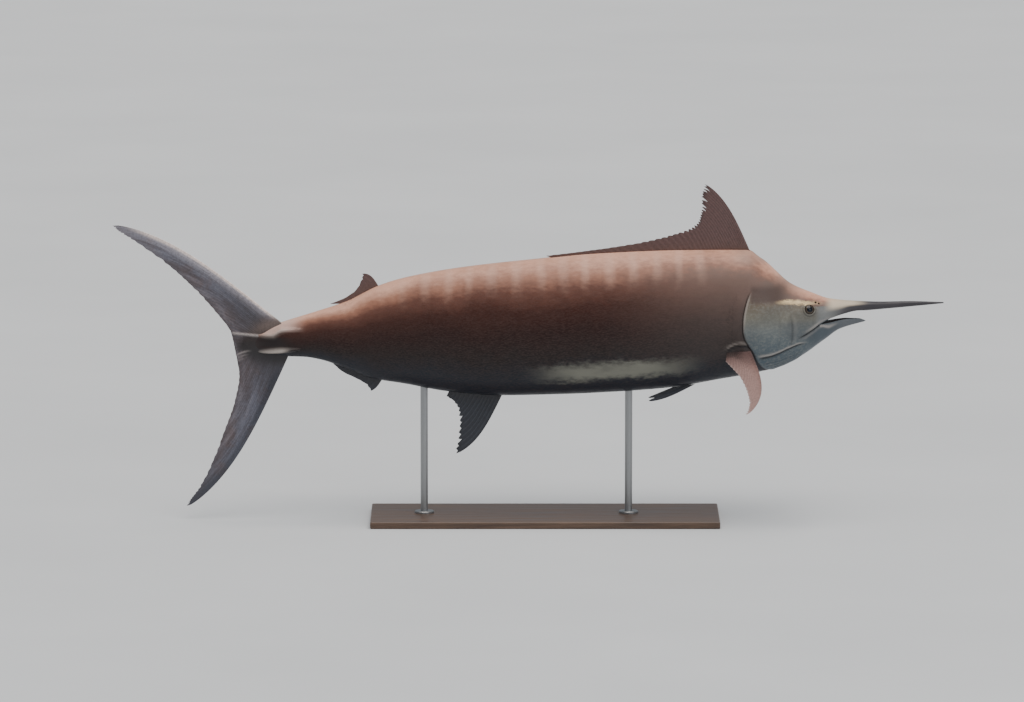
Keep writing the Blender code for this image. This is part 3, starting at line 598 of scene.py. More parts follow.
jaw_angle = side_of(around(np.full(len(upper_jaw), CORNER_X))[:, LOW:-LOW])
upper_level = np.concatenate([np.sin(np.radians(jaw_angle)),
                              np.full((len(upper_jaw), INSIDE), -0.5)], 1)
lower_level = np.full(lower_jaw.shape[:2], -0.6)
upper_light = 0.42 * bump(jaw_angle, jaw_angle[:, :1] + 5.5, 3.0)
lower_light = 0.62 * bump(np.abs(np.arange(-LOW, LOW + 1) / LOW), 0.88, 0.07)
skin = weld([
    rolled("trunk", trunk, body_marks(trunk[..., 0], trunk_angle, trunk_crease, trunk_ridge_highlight)),
    rolled("upper", upper_jaw, jaw_marks(upper_jaw, 2 * HIGH + 1, upper_level, 1.0, upper_light)),
    rolled("lower", lower_jaw, jaw_marks(lower_jaw, 2 * LOW + 1, lower_level, 0.25, lower_light)),
], "skin")
skin.data.calc_loop_triangles()
print("skin has", len(skin.data.loop_triangles), "triangles")
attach(skin, "root")
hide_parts("head", "bill", "lower_jaw", "gill_cover_left", "gill_cover_right",
            "torso_front", "torso_middle", "torso_rear", "tail_stalk")

# %% [markdown]
# The skin's colour is laid on in bands: warm light bronze along the back with pale upright bars,
# maroon brown on the flank, blue-black below, and a silver band low on the belly. The bronze back
# is painted light from above over the skin's brown, and the blue-black is partly painted shade
# from below. The gill cover and cheek are greenish silver with a gold streak over the eye, and the
# bill is brown grey. Painted highlights lie on the ridges and painted shade in the creases.


# %% Skin finish
def skin_paint(name):
    """The markings, shared by the skin and by the scales on it."""
    p = Painter(name, roughness=0.4, specular=0.22)
    x, z, plain_level = p.axis("X"), p.axis("Z"), p.mark("level")
    wander = p.sway(p.noise(5.0, (1, 0.6, 1)), 0.34)
    fine = p.sway(p.noise(60.0, (0.5, 1, 1), 4.0), 0.20)
    level = p.total(plain_level, wander, fine, p.between(x, -0.40, -0.80, 0.0, 0.10))
    low = p.total(p.math("MULTIPLY_ADD", wander, 0.45, plain_level), fine)
    # up the flank: the warm light top stops are painted light from above on the skin's brown, and
    # the blue-black low stops are partly painted shade from below
    body = p.ramp(p.math("MULTIPLY_ADD", level, 0.5, 0.5), [
        (0.00, (14, 21, 31)), (0.16, (15, 20, 28)),
        (0.32, (15, 11, 11)), (0.47, (20, 6, 4.8)),
        (0.66, (50, 17, 12)), (0.80, (132, 54, 38)),
        (0.90, (370, 170, 112)), (1.00, (720, 400, 285))])
    shoulder = p.mix(p.between(level, -0.4, 0.7), (46, 37, 35), (175, 112, 92))
    bar_x = p.total(x, p.times(p.noise(3.0, (1, 0.2, 0.5)), 0.10))
    wave = p.math("SINE", p.times(bar_x, 2.0 * math.pi / 0.098))
    bars = p.total(wave, p.math("MULTIPLY_ADD", p.noise(7.0, (1, 0.1, 0.4), 2.0), 1.3, -0.55))
    over_keel = p.math("SUBTRACT", z, p.between(x, -1.12, -1.19, 0.818, 0.803))
    body = p.lay(
        body,
        # a greyer shoulder towards the gill
        (0.92, shoulder, (x, 0.18, 0.86), (level, -0.75, -0.35), (level, 0.94, 0.64)),
        # each scale's own tone
        (0.18, (140, 90, 80), (p.mark("tone"), -1.5, 1.5)),
        # pale upright bars on the upper side
        (0.28, (700, 460, 360), (bars, -0.2, 1.4), (level, 0.46, 0.92), (x, -0.75, -0.55),
         (x, 0.80, 0.62)),
        # silver band low on the belly
        (0.85, (235, 232, 190), (low, -0.82, -0.68), (low, -0.44, -0.58), (x, -0.12, 0.16),
         (x, 0.72, 0.40), (p.noise(13.0, (0.4, 1, 1), 4.0), 0.30, 0.60, 0.55, 1.0)),
        # painted shade in the hollow between the keels, a painted highlight on the top over them,
        # and the stalk's dull end
        (0.85, (22, 18, 18), (z, 0.750, 0.762), (z, 0.804, 0.790), (x, -1.06, -1.16)),
        (0.80, (600, 430, 375), (over_keel, -0.002, 0.012), (x, -1.02, -1.12)),
        (0.85, (46, 36, 36), (x, -1.20, -1.275)))
    cheek = p.ramp(p.between(z, 0.72, 1.02), [
        (0.0, (75, 100, 120)), (0.35, (140, 155, 155)), (0.62, (165, 155, 125)),
        (0.85, (150, 120, 90)), (1.0, (110, 70, 55))])
    jaw_z = p.math("SUBTRACT", z, p.between(x, 1.12, 1.20, 0.815, 0.884))
    jaw = p.mix(p.between(x, 1.20, 1.30), (66, 86, 104), (135, 150, 165))
    cheek = p.lay(
        cheek,
        # pale grain, blue muzzle, jaw, lower cheek, dark clouds, shade behind the eye
        (0.34, (300, 300, 270), (p.noise(110.0, (0.7, 1, 1), 5.0, 0.7), 0.40, 0.70)),
        (0.60, (185, 200, 215), (x, 1.150, 1.180), (z, 0.955, 0.935)),
        (0.85, jaw, (jaw_z, 0.009, -0.009), (x, 1.10, 1.17)),
        (0.45, (56, 64, 76), (z, 0.780, 0.812), (z, 0.888, 0.862), (x, 1.01, 1.06),
         (x, 1.19, 1.14)),
        (0.26, (70, 80, 90), (p.noise(11.0, (0.6, 1, 1.4)), 0.42, 0.68)),
        (0.45, (70, 68, 66), (x, 1.02, 1.09), (x, 1.20, 1.14), (z, 0.86, 0.89),
         (z, 0.935, 0.905)))
    rough_z = p.total(z, p.sway(p.noise(38.0, (0.45, 1, 1), 5.0, 0.7), 0.036))
    off_gold = p.math("SUBTRACT", rough_z, p.between(x, 0.99, 1.17, 0.962, 0.950))
    bill = p.mix(p.noise(30.0, (0.3, 1, 1)), (34, 33, 41), (82, 75, 79))
    mouth = p.mix(p.noise(50.0), (40, 26, 28), (85, 52, 52))
    p.colour(p.lay(
        body,
        (1.0, cheek, p.mark("cover")),
        # dull crown, hump and nape
        (0.68, (140, 106, 93), (z, 0.945, 0.975), (z, 1.090, 1.030), (x, 0.900, 0.960),
         (x, 1.14, 1.02)),
        (0.45, (200, 150, 130), (z, 1.105, 1.135), (x, 0.76, 0.86)),
        (0.80, (78, 52, 45), (z, 0.945, 0.975), (z, 1.045, 1.010), (x, 0.870, 0.890),
         (x, 1.05, 0.99)),
        # gold streak over the eye
        (0.95, (950, 720, 400), (p.math("ABSOLUTE", off_gold), 0.0125, 0.0015),
         (x, 0.975, 1.045), (x, 1.21, 1.09),
         (p.noise(16.0, (0.6, 1, 1), 4.0), 0.28, 0.58, 0.45, 1.0)),
        # bill, cream snout, and the dark edge under it, which is painted shade on the upper jaw's
        # underside
        (1.0, bill, p.mark("bill")),
        (0.80, (660, 550, 410), (x, 1.19, 1.24), (x, 1.40, 1.31), (plain_level, 0.15, 0.60)),
        (0.80, (30, 27, 34), (plain_level, -0.05, -0.40), (z, 0.886, 0.900),
         (x, 1.21, 1.27)),
        # painted highlights on ridges, lips and keels, and painted shade in creases, grooves and
        # pits
        (1.0, (460, 410, 370), p.mark("pale")),
        (1.0, (20, 18, 20), p.mark("crease")),
        (1.0, mouth, p.mark("inside"), (x, 1.36, 1.28))))
    p.gloss(p.between(p.noise(40.0, (0.4, 1, 1)), 0.3, 0.7, 0.28, 0.46))
    pores = p.times(p.noise(95.0, (0.5, 1, 1), 5.0, 0.65), 1.6)
    p.relief(p.total(pores, p.noise(420.0, (0.25, 1, 1), 2.0)), 0.28, 0.0006)
    return p.material


skin.data.materials.append(skin_paint("marlin skin"))
print("skin finish of", len(skin.data.materials[0].node_tree.nodes), "nodes")

# %% [markdown]
# ## Fins
# A fin is a fan of bony rays in a thin skin. Each fin here is two grids, a near and a far side,
# that share their border: rays stand out as ribs on both sides and fork towards the edge, the
# membrane between them falls short of their tips, and old tears are cut into it. The leading edge
# is rounded and the root thickens where it grows from the body.

# %% Rays of each fin: (root x, root z, tip x, tip z), front ray first


def from_line(rays, line, sink):
    """Rays whose roots are sunk under the back or the belly."""
    return [(x, float(curve(line, x)) + sink, tip_x, tip_z) for x, tip_x, tip_z in rays]


FIRST_DORSAL = from_line([
    (0.885, 0.681, 1.457), (0.850, 0.671, 1.410), (0.802, 0.669, 1.350), (0.748, 0.660, 1.303),
    (0.684, 0.624, 1.268), (0.598, 0.537, 1.236), (0.473, 0.421, 1.207), (0.323, 0.275, 1.182),
    (0.194, 0.150, 1.165), (0.047, 0.004, 1.147)], BACK, -0.012)
SECOND_DORSAL = from_line([
    (-0.712, -0.786, 1.068), (-0.744, -0.790, 1.046), (-0.787, -0.810, 1.004),
    (-0.830, -0.858, 0.966), (-0.856, -0.925, 0.938)], BACK, -0.010)
FIRST_ANAL = from_line([
    (-0.180, -0.387, 0.289), (-0.224, -0.378, 0.345), (-0.262, -0.369, 0.413),
    (-0.310, -0.372, 0.470), (-0.361, -0.391, 0.512), (-0.408, -0.424, 0.538)], BELLY, 0.012)
SECOND_ANAL = from_line([
    (-0.697, -0.751, 0.561), (-0.731, -0.768, 0.588), (-0.787, -0.817, 0.617),
    (-0.838, -0.870, 0.643), (-0.866, -0.913, 0.680)], BELLY, 0.010)
TAIL_UPPER = [
    (-1.127, 0.852, -1.858, 1.276), (-1.138, 0.845, -1.830, 1.252), (-1.150, 0.838, -1.770, 1.214),
    (-1.176, 0.826, -1.617, 1.105), (-1.202, 0.812, -1.518, 1.015), (-1.228, 0.796, -1.423, 0.912),
    (-1.252, 0.776, -1.350, 0.813), (-1.272, 0.760, -1.334, 0.742)]
TAIL_LOWER = [
    (-1.101, 0.718, -1.549, 0.058), (-1.118, 0.720, -1.528, 0.090), (-1.135, 0.722, -1.492, 0.138),
    (-1.170, 0.727, -1.432, 0.256), (-1.200, 0.731, -1.380, 0.391), (-1.230, 0.737, -1.337, 0.512),
    (-1.254, 0.745, -1.316, 0.632), (-1.272, 0.760, -1.334, 0.742)]
PECTORAL = [(root_x, -0.030, tip_x, reach) for root_x, tip_x, reach in (
    (0.874, 0.843, 0.494), (0.864, 0.855, 0.455), (0.854, 0.862, 0.405), (0.840, 0.858, 0.345),
    (0.825, 0.848, 0.285), (0.810, 0.828, 0.205), (0.796, 0.800, 0.140), (0.782, 0.772, 0.080))]
PELVIC = [(0.645, 0.594, 0.444, 0.524), (0.618, 0.592, 0.446, 0.527), (0.590, 0.590, 0.455, 0.531)]


# %% A fan of rays as two sides with one border
def fan(rays, count, rows, bow, root, web, rib, notch=0.008, tears=0.0, fork=0.0, lobes=6,
        sink=0.0):
    """Centre line points, half thickness and marks of one fan; columns run from front to rear.
    It has count rays and rows steps along each. Bow bends the front ray forwards. Root, web and
    rib are half thicknesses. Notch and tears cut the rear edge, fork splits the rays, and lobes
    are the mesh steps from ray to ray. Rays start a length of sink before their roots, inside
    the body."""
    front = np.array([0.0, 0.05, 0.15, 0.32, 0.58]) / (count - 1)
    steps = lobes * (count - 1)
    share = np.concatenate([front, np.arange(lobes, steps + 1) / steps])
    out = (np.arange(rows + 1) / rows) ** 1.3
    place = share * (len(rays) - 1)
    ends = np.stack([curve(list(enumerate(part)), place) for part in zip(*rays)], 1)
    ray_place = share * (count - 1)
    away = np.abs(ray_place - np.round(ray_place)) * 2.0
    length = np.hypot(ends[:, 2] - ends[:, 0], ends[:, 3] - ends[:, 1])
    torn = (rng.random(count + 1) ** 3 * tears)[ray_place.astype(int)]
    short = np.minimum((notch + torn) / length, 0.04 + 0.5 * length) * away ** 1.5
    uneven = (rng.random(count + 1) * 0.35 * notch)[np.round(ray_place).astype(int)]
    short += uneven / length * (1 - away)
    sunk = (sink / length)[:, None]
    reach = (out[None, :] * (1.0 + sunk) - sunk) * (1.0 - short)[:, None]
    along = (ends[:, 2:] - ends[:, :2])[:, None, :]
    ahead = np.stack([along[..., 1], -along[..., 0]], -1)
    swell = np.maximum(np.sin(math.pi * np.clip(reach, 0, 1) ** 1.5), 0.0) ** 0.65
    arch = (bow * np.sqrt(1.0 - share))[:, None] * swell
    centre = ends[:, None, :2] + along * reach[..., None] + ahead * arch[..., None]
    forked = np.abs(ray_place * 2 - np.round(ray_place * 2)) * 2.0
    fine = bump(away, 0, 0.34)[:, None]
    fine = fine + 0.9 * fork * bump(forked, 0, 0.34)[:, None] * smooth(0.25, 0.6, reach)
    ribs = np.minimum(fine, 1.0) * smooth(0.0, 0.02, share)[:, None]
    half = 0.0006 + (web - 0.0006) * (1.0 - out)[None, :] + 0.0 * reach
    half = half + (root - web) * np.clip(1.0 - reach * 1.6, 0.0, 1.0) ** 2
    half = half + rib * ribs * (1.0 - 0.65 * reach) * smooth(0.02, 0.18, reach)
    nose = np.clip(share * (count - 1) / 0.58, 0.0, 1.0)
    half = half * np.sqrt(1.0 - (1.0 - nose) ** 2)[:, None]
    half[:, 0] = half[:, -1] = half[0] = half[-1] = 0.0
    marks = {"out": reach, "ray": ribs, "ahead": np.repeat(share[:, None], rows + 1, 1),
             "grown": reach * length[:, None]}
    return centre, half, marks


def make_fin(name, shape, place, normal, nodes, finish):
    """Put both sides of a fan in space, weld their border and dress the fin."""
    centre, half, marks = shape
    points = place(centre)
    normal = np.array(normal)
    fin = weld([rolled("near", points - normal * half[..., None], marks),
                rolled("far", points + normal * half[..., None], marks)], name)
    fin.data.materials.append(finish)
    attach(fin, "root")
    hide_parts(*nodes)
    print(name, len(fin.data.polygons), "faces")


def upright(p):
    return np.stack([p[..., 0], 0.0 * p[..., 0], p[..., 1]], -1)


# %% [markdown]
# A fin's skin is darker than its rays, and wears pale at the edge. One finish, with its own
# colours for each kind of fin, follows the marks that the mesh carries from root to edge.


# %% Fin finishes
def fin_paint(name, root, web, ray, edge, mottle=(100, 70, 70), mottled=0.0, rim=0.88,
              grown=(0.010, 0.080), more=None):
    """A fin's finish. Rim is where its pale edge starts, and grown where the root's colour ends,
    in metres along the rays."""
    p = Painter(name, roughness=0.38, specular=0.40)
    blotch, length = p.noise(9.0, detail=4.0), p.mark("grown")
    colour = p.lay(
        p.mix(p.between(length, *grown), root, web),
        (mottled, mottle, (blotch, 0.48, 0.66)),
        (1.0, ray, p.mark("ray"), (length, *grown, 0.05, 0.55)),
        (1.0, edge, (p.total(p.mark("out"), p.sway(blotch, 0.20)), rim, rim + 0.14)))
    if more:
        colour = more(p, colour, blotch, p.mix(p.mark("ray"), root, mottle))
    speck = p.noise(110.0)
    p.colour(p.lay(colour, (0.28, (30, 22, 22), (speck, 0.40, 0.70))))
    p.gloss(p.between(speck, 0.3, 0.7, 0.32, 0.50))
    p.relief(p.noise(260.0, detail=2.0), 0.25, 0.0006)
    return p.material


def tail_markings(p, colour, blotch, rear):
    """Streaks along the rays, a dark base, and leading edges in painted light and painted shade.
    """
    ahead, out, z = p.mark("ahead"), p.mark("out"), p.axis("Z")
    place = p.node("CombineXYZ", [(0, p.times(ahead, 16.0)), (1, p.times(out, 3.0))]).outputs[0]
    streak = p.noise(1.0, detail=5.0, roughness=0.6, place=place)
    front = p.times(p.between(ahead, 0.44, 0.10, 0.0, 0.75),
                    p.between(streak, 0.70, 0.40, 0.60, 1.0))
    flesh = p.ramp(p.between(z, 0.705, 0.865), [
        (0.0, (22, 20, 22)), (0.35, (24, 19, 19)),
        (0.62, (36, 24, 22)), (1.0, (150, 112, 100))])
    return p.lay(
        colour,
        (0.65, rear, (p.total(ahead, p.sway(blotch, 0.5)), 0.30, 0.75)),
        (0.60, (60, 44, 46), (streak, 0.46, 0.66)),
        (0.35, (240, 220, 250), (streak, 0.48, 0.32)),
        # dark base and lower tip
        (0.70, (44, 38, 44), (out, p.between(z, 0.74, 0.86, 0.46, 0.70), 0.08)),
        (0.45, (50, 44, 52), (z, 0.34, 0.12)),
        # painted light on the upper lobe's front, painted shade on the lower one's, and a painted
        # highlight on the upper edge
        (1.0, (540, 500, 550), front, (z, 0.82, 0.94), (out, 1.0, 0.55, 0.35, 1.0)),
        (0.85, (30, 36, 50), front, (z, 0.70, 0.60)),
        (0.85, (900, 760, 700), (ahead, 0.150, 0.065), (z, 0.84, 0.90), (out, 0.97, 0.80)),
        (1.0, flesh, p.mark("flesh")),
        # painted highlights on the folds of skin over the tail's roots
        (1.0, (480, 420, 400), p.mark("fold")))


dorsal_finish = fin_paint("back fin skin", (120, 66, 56), (105, 56, 52),
                          (165, 98, 88), (60, 34, 34))
lower_finish = fin_paint("lower fin skin", (28, 28, 34), (26, 29, 38),
                         (60, 64, 78), (20, 22, 28))
# the dark root is painted shade where the fin meets the body; the pink web is the lit upper side,
# partly the fin's own colour and partly painted light
pectoral_finish = fin_paint("pectoral fin skin", (42, 27, 26), (255, 152, 135),
                            (350, 235, 212), (600, 520, 500), (200, 120, 110), 0.5,
                            rim=0.95, grown=(0.045, 0.210))
tail_finish = fin_paint("tail fin skin", (70, 58, 62), (110, 112, 146),
                        (190, 195, 240), (120, 110, 130), (130, 84, 78), 0.8,
                        more=tail_markings)

# %% Fins in the middle plane
ACROSS = (0.0, 1.0, 0.0)
for name, rays, shape, node, slot, finish in (
        ("first_dorsal_fin", FIRST_DORSAL, (40, 26, 0.085, 0.0050, 0.0011, 0.0019, 0.006, 0.034),
         "dorsal_fin_first", "dorsal_fins", dorsal_finish),
        ("second_dorsal_fin", SECOND_DORSAL,
         (7, 20, 0.18, 0.0034, 0.0010, 0.0014, 0.005, 0.006, 0.6, 10),
         "dorsal_fin_second", "dorsal_fins", dorsal_finish),
        ("first_anal_fin", FIRST_ANAL,
         (14, 26, -0.10, 0.0050, 0.0011, 0.0018, 0.008, 0.012, 0.5, 8),
         "anal_fin_first", "lower_fins", lower_finish),
        ("second_anal_fin", SECOND_ANAL,
         (7, 20, -0.10, 0.0034, 0.0010, 0.0014, 0.005, 0.006, 0.6, 10),
         "anal_fin_second", "lower_fins", lower_finish)):
    make_fin(name, fan(rays, *shape), upright, ACROSS, [node], finish)

# %% [markdown]
# The tail's two lobes grow from one fan that bends round the fork. Stiff rays lie so close that
# they read as fine grooves, and folds of skin run out over their roots behind the keels.


# %% Tail
def tail_shape():
    upper, lower = (fan(rays, 30, 56, bow, 0.0070, 0.0026, 0.0012, 0.0026, 0.005, 1.0, 5, 0.030)
                    for rays, bow in ((TAIL_UPPER, 0.072), (TAIL_LOWER, -0.078)))
    for part in (upper, lower):  # the fork's middle ray is as thick as its neighbour
        part[1][-1] = part[1][-2]
        part[1][-1, 0] = part[1][-1, -1] = 0.0
    centre = np.concatenate([upper[0], lower[0][-2::-1]])
    half = np.concatenate([upper[1], lower[1][-2::-1]])
    marks = {key: np.concatenate([upper[2][key], lower[2][key][-2::-1]]) for key in upper[2]}
    x, z = centre[..., 0], centre[..., 1]
    inner = smooth(0.0, 0.03, marks["out"]) * smooth(1.0, 0.90, marks["out"])
    marks["fold"] = 0.0 * half
    for height, line, width, from_x in (
            (0.0045, curve(KEELS[0], x), 0.0055, -1.17),
            (0.0030, 0.736 - 5.0 * (x + 1.262) ** 2, 0.0042, -1.255),
            (0.0022, 0.722 - 4.0 * (x + 1.255) ** 2, 0.0036, -1.265),
            (0.0016, 0.710 - 4.0 * (x + 1.25) ** 2, 0.0032, -1.27)):
        fold = bump(z, line, width) * inner * smooth(from_x, from_x - 0.04, x)
        half += height * fold
        # the fold mark carries a painted highlight along each fold
        marks["fold"] = np.maximum(marks["fold"], 150.0 * height * fold)
    # a fillet of flesh round the end of the stalk, and brown skin out to the fork's middle
    beside = 0.85 * np.maximum(z - curve(BACK, x), curve(BELLY, x) - z)
    gap = np.where(x > -1.299, np.maximum(beside, 0.0), np.hypot(x + 1.299, z - 0.757))
    edge = np.clip(marks["ahead"] / 0.03, 0.0, 1.0) * smooth(1.0, 0.9, marks["out"])
    half += 0.0060 * np.exp(-gap / 0.020) * np.sqrt(edge) * (half > 0)
    middle = bump(z, 0.764, 0.026) * smooth(-1.345, -1.30, x)
    marks["flesh"] = np.maximum(np.exp(-(gap / 0.034) ** 2), 0.85 * middle)
    return centre, half, marks


make_fin("tail_fin", tail_shape(), upright, ACROSS, ["tail_fin_upper", "tail_fin_lower"],
         tail_finish)

# %% [markdown]
# A black marlin's pectoral fins can't fold flat: they stand out stiffly from the low flank and
# droop. The pelvic fins are two narrow blades under the belly.


# %% Paired fins
def pectoral(word, side):
    droop = math.radians(22.0)
    out = np.array([0.0, side * math.cos(droop), -math.sin(droop)])
    normal = np.array([0.0, side * math.sin(droop), math.cos(droop)])
    root = np.array([0.0, side * 0.138, 0.748])

    def place(p):
        sag = 0.10 * p[..., 1] * np.abs(p[..., 1])
        flat = root + p[..., :1] * np.array([1.0, 0.0, 0.0]) + p[..., 1:] * out
        return flat - sag[..., None] * normal

    shape = fan(PECTORAL, 20, 32, 0.125, 0.0090, 0.0022, 0.0015, 0.004, 0.004, 0.8, 5, 0.015)
    make_fin(f"pectoral_{word}", shape, place, normal, [f"pectoral_fin_{word}"],
             pectoral_finish)


def pelvic(word, side):
    def place(p):
        return np.stack([p[..., 0], side * (0.030 + (0.585 - p[..., 1]) * 0.30), p[..., 1]], -1)

    normal = np.array([0.0, 1.0, side * 0.30]) / math.hypot(1.0, 0.30)
    shape = fan(PELVIC, 3, 30, -0.06, 0.0045, 0.0017, 0.0011, 0.002, 0.0, 0.8, 12)
    make_fin(f"pelvic_{word}", shape, place, normal, [f"pelvic_fin_{word}"],
             lower_finish)


for word, side in SIDES:
    pectoral(word, side)
    pelvic(word, side)

# %% [markdown]
# ## Eyes and nostrils
# The eye is a flattened ball with a wide dark pupil and a dull gold iris, under a wet film. A soft
# ring of skin stands round it. It is drawn as rings of points that follow the head's own surface,
# so its outer edge sinks into the cheek without a step; the two nostrils are made the same way.


# %% Rings that lie on the skin
def on_skin(x, deg, side, forwards, up, height):
    """Points at a distance forwards and up the skin from a place on it, raised by a height."""
    a = math.radians(deg)
    nearby = oval(np.array([x, x]), np.array([a - 0.01, a + 0.01]))
    xs, angle = x + forwards, a + up * 0.02 / np.linalg.norm(nearby[1] - nearby[0])
    here = oval(xs, angle, -COAT_DEPTH)
    along = oval(xs + 0.002, angle) - oval(xs - 0.002, angle)
    higher = oval(xs, angle + 0.01) - oval(xs, angle - 0.01)
    normal = np.cross(higher, along)
    normal *= np.sign(normal[..., 1:2]) / np.linalg.norm(normal, axis=-1, keepdims=True)
    points = here + normal * np.asarray(height)[..., None]
    points[..., 1] *= side
    return points, normal * np.array([1.0, side, 1.0]), angle


def skin_ring(name, x, deg, side, profile, around_steps):
    """A ring of skin from a profile of (radius, height) pairs, inner edge first."""
    turn = np.linspace(0.0, 2.0 * math.pi, around_steps + 1)[None, :]
    radius, height = np.array(profile).T[:, :, None]
    ahead, up = radius * np.cos(turn), radius * np.sin(turn)
    points, _, angle = on_skin(x, deg, side, ahead, up, height + 0.0 * turn)
    marks = body_marks(points[..., 0], angle)
    # painted shade where the ring sinks under the skin, and for the lid in its two grooves
    dark = smooth(0.0004, -0.0022, height)
    if name == "lid":
        dark = 0.55 * bump(radius, 0.0288, 0.0012) + 0.8 * bump(radius, 0.0195, 0.0010)
    marks["crease"] = dark + 0.0 * turn
    return rolled(name, points, marks)


# (radius, height) in millimetres for the lid, and in radii and millimetres for a nostril
LID = [(19.0, -3.0), (20.3, 0.2), (20.6, 2.0), (21.6, 3.3), (23.2, 4.0), (25.0, 3.9), (26.6, 3.0),
       (28.0, 1.8), (29.6, 1.4), (32.0, 1.2), (35.0, 0.8), (38.5, 0.3), (42.0, -0.3),
       (45.0, -1.2), (45.0, -6.0), (22.0, -11.0), (19.0, -3.0)]
BOWL = [(0.10, -5.0), (0.45, -4.8), (0.68, -3.0), (0.80, 0.0), (0.92, 1.2), (1.10, 1.4),
        (1.35, 0.7), (1.75, -1.0), (1.60, -7.0), (0.15, -9.0), (0.10, -5.0)]
rims = []
for word, side in SIDES:
    rims.append(skin_ring("lid", EYE_X, EYE_DEG, side, [(r / 1000, h / 1000) for r, h in LID], 72))
    for x, deg, radius in NOSTRILS:
        bowl = [(radius * r, h / 1000) for r, h in BOWL]
        rims.append(skin_ring("nostril", x, deg, side, bowl, 32))
face = weld(rims, "lids_and_nostrils")
face.data.materials.append(skin.data.materials[0])
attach(face, "root")
print(face.name, len(rims), "rings")


# %% Eyes
EYE_SINK, EYE_RADIUS, EYE_DEPTH = -0.0073, 0.0241, 0.0146


def eye_paint():
    p = Painter("wet eye", roughness=0.08, coat=0.10, specular=0.30)
    streak = p.sway(p.noise(420.0), 0.05)
    p.colour(p.ramp(p.total(p.mark("ring"), streak), [
        (0.00, (4, 5, 10)), (0.58, (4, 6, 11)), (0.61, (105, 72, 38)),
        (0.68, (45, 30, 20)), (0.84, (20, 16, 15)), (1.00, (110, 80, 70))]))
    return p.material


eye_finish = eye_paint()
for word, side in SIDES:
    pick_nothing()
    bpy.ops.mesh.primitive_uv_sphere_add(segments=64, ring_count=40, radius=1.0)
    ball = bpy.context.object
    co = np.array([vertex.co for vertex in ball.data.vertices])
    ring = np.hypot(co[:, 0], co[:, 1]) * 1.02 + (co[:, 2] < 0)
    carry(ball.data, {"ring": ring})
    centre, normal, _ = on_skin(EYE_X, EYE_DEG, side, 0.0, 0.0, EYE_SINK)
    ahead = np.array([1.0, 0.0, 0.0]) - normal * normal[0]
    ahead /= np.linalg.norm(ahead)
    cornea = 0.0012 * np.exp(-(ring / 0.55) ** 2)
    co = (centre + (co[:, :1] * ahead + co[:, 1:2] * np.cross(normal, ahead)) * EYE_RADIUS
          + (co[:, 2] * EYE_DEPTH + cornea)[:, None] * normal)
    ball.data.vertices.foreach_set("co", co.reshape(-1))
    weld([ball], f"eyeball_{word}")
    ball.data.materials.append(eye_finish)
    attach(ball, "root")
    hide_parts(f"eye_{word}")
    print(ball.name, len(ball.data.polygons), "faces")

# %% [markdown]
# ## Scales
# A black marlin is covered with long, narrow, pointed scales that lie almost buried in the skin,
# point to the tail and overlap like needles of a fir twig. One scale is modelled: a small cone is
# pressed flat and its point drawn back. It is then copied over the skin in staggered rows. Each
# copy is turned along the fish, sunk at its root and given its own length and tone.


# %% One scale
def model_scale():
    """A pointed sliver of unit length and width: its vertices and triangles."""
    pick_nothing()
    bpy.ops.mesh.primitive_cone_add(vertices=4, radius1=0.5, radius2=0.0, depth=1.0,
                                    location=(0.0, 0.0, 0.5))
    sliver = bpy.context.object
    bpy.ops.object.mode_set(mode="EDIT")
    bpy.ops.mesh.select_all(action="SELECT")
    bpy.ops.mesh.quads_convert_to_tris()
    bpy.ops.object.mode_set(mode="OBJECT")
    co = np.array([vertex.co for vertex in sliver.data.vertices])
    reach = np.abs(co[:, 0]) > 0.25
    tip, root = reach & (co[:, 0] < 0), reach & (co[:, 0] > 0)
    crest, sides = co[:, 2] > 0.5, np.abs(co[:, 1]) > 0.25
    shape = np.zeros((len(co), 3))
    shape[tip], shape[root] = (-0.62, 0.0, 0.45), (0.38, 0.0, -0.75)
    shape[crest], shape[sides] = (-0.12, 0.0, 1.0), (0.02, 0.0, -0.30)
    shape[sides, 1] = np.sign(co[sides, 1]) * 0.5
    faces = np.array([list(face.vertices) for face in sliver.data.polygons])
    bpy.data.objects.remove(sliver)
    return shape, faces


SCALE, SCALE_FACES = model_scale()
print("one scale has", len(SCALE_FACES), "triangles")


# %% Places on the skin's grid
def four(grid, i, k):
    """The four grid values round broken indices, and the shares on the way across."""
    i0, k0 = i.astype(int), k.astype(int)
    s, t = ((n - n.astype(int)).reshape((-1,) + (1,) * (grid.ndim - 2)) for n in (i, k))
    return grid[i0, k0], grid[i0 + 1, k0], grid[i0, k0 + 1], grid[i0 + 1, k0 + 1], s, t


def blend(grid, i, k):
    """A grid's values at broken indices."""
    a, b, c, d, s, t = four(grid, i, k)
    return a * (1 - s) * (1 - t) + b * s * (1 - t) + c * (1 - s) * t + d * s * t


def way_out(i, k):
    """The way out of the skin at broken indices."""
    a, b, c, d, s, t = four(trunk, i, k)
    normal = np.cross((c - a) * (1 - s) + (d - b) * s, (b - a) * (1 - t) + (d - c) * t)
    return normal / np.maximum(np.linalg.norm(normal, axis=1, keepdims=True), 1e-12)


CLIMB = np.maximum.accumulate(trunk[..., 0] + 1e-7 * np.arange(len(trunk))[:, None], 0)


def ring_number(x, k):
    """The broken ring index at a place x along the body; rings bend along the gill."""
    number = np.empty(len(x))
    for column in range(CLIMB.shape[1]):
        here = k.astype(int) == column
        number[here] = np.interp(x[here], CLIMB[:, column], np.arange(len(trunk)))
    return np.clip(number, 0, len(trunk) - 1.001)


# %% Rows of scales
ROW_STEP, ROW_COUNT, LEAST_ROOM = 0.0080, 400, 0.0019
LONGEST, THICKEST = 0.0225, 0.00070
PATCH = 0.0015  # half of a scale's patch on the unwrap


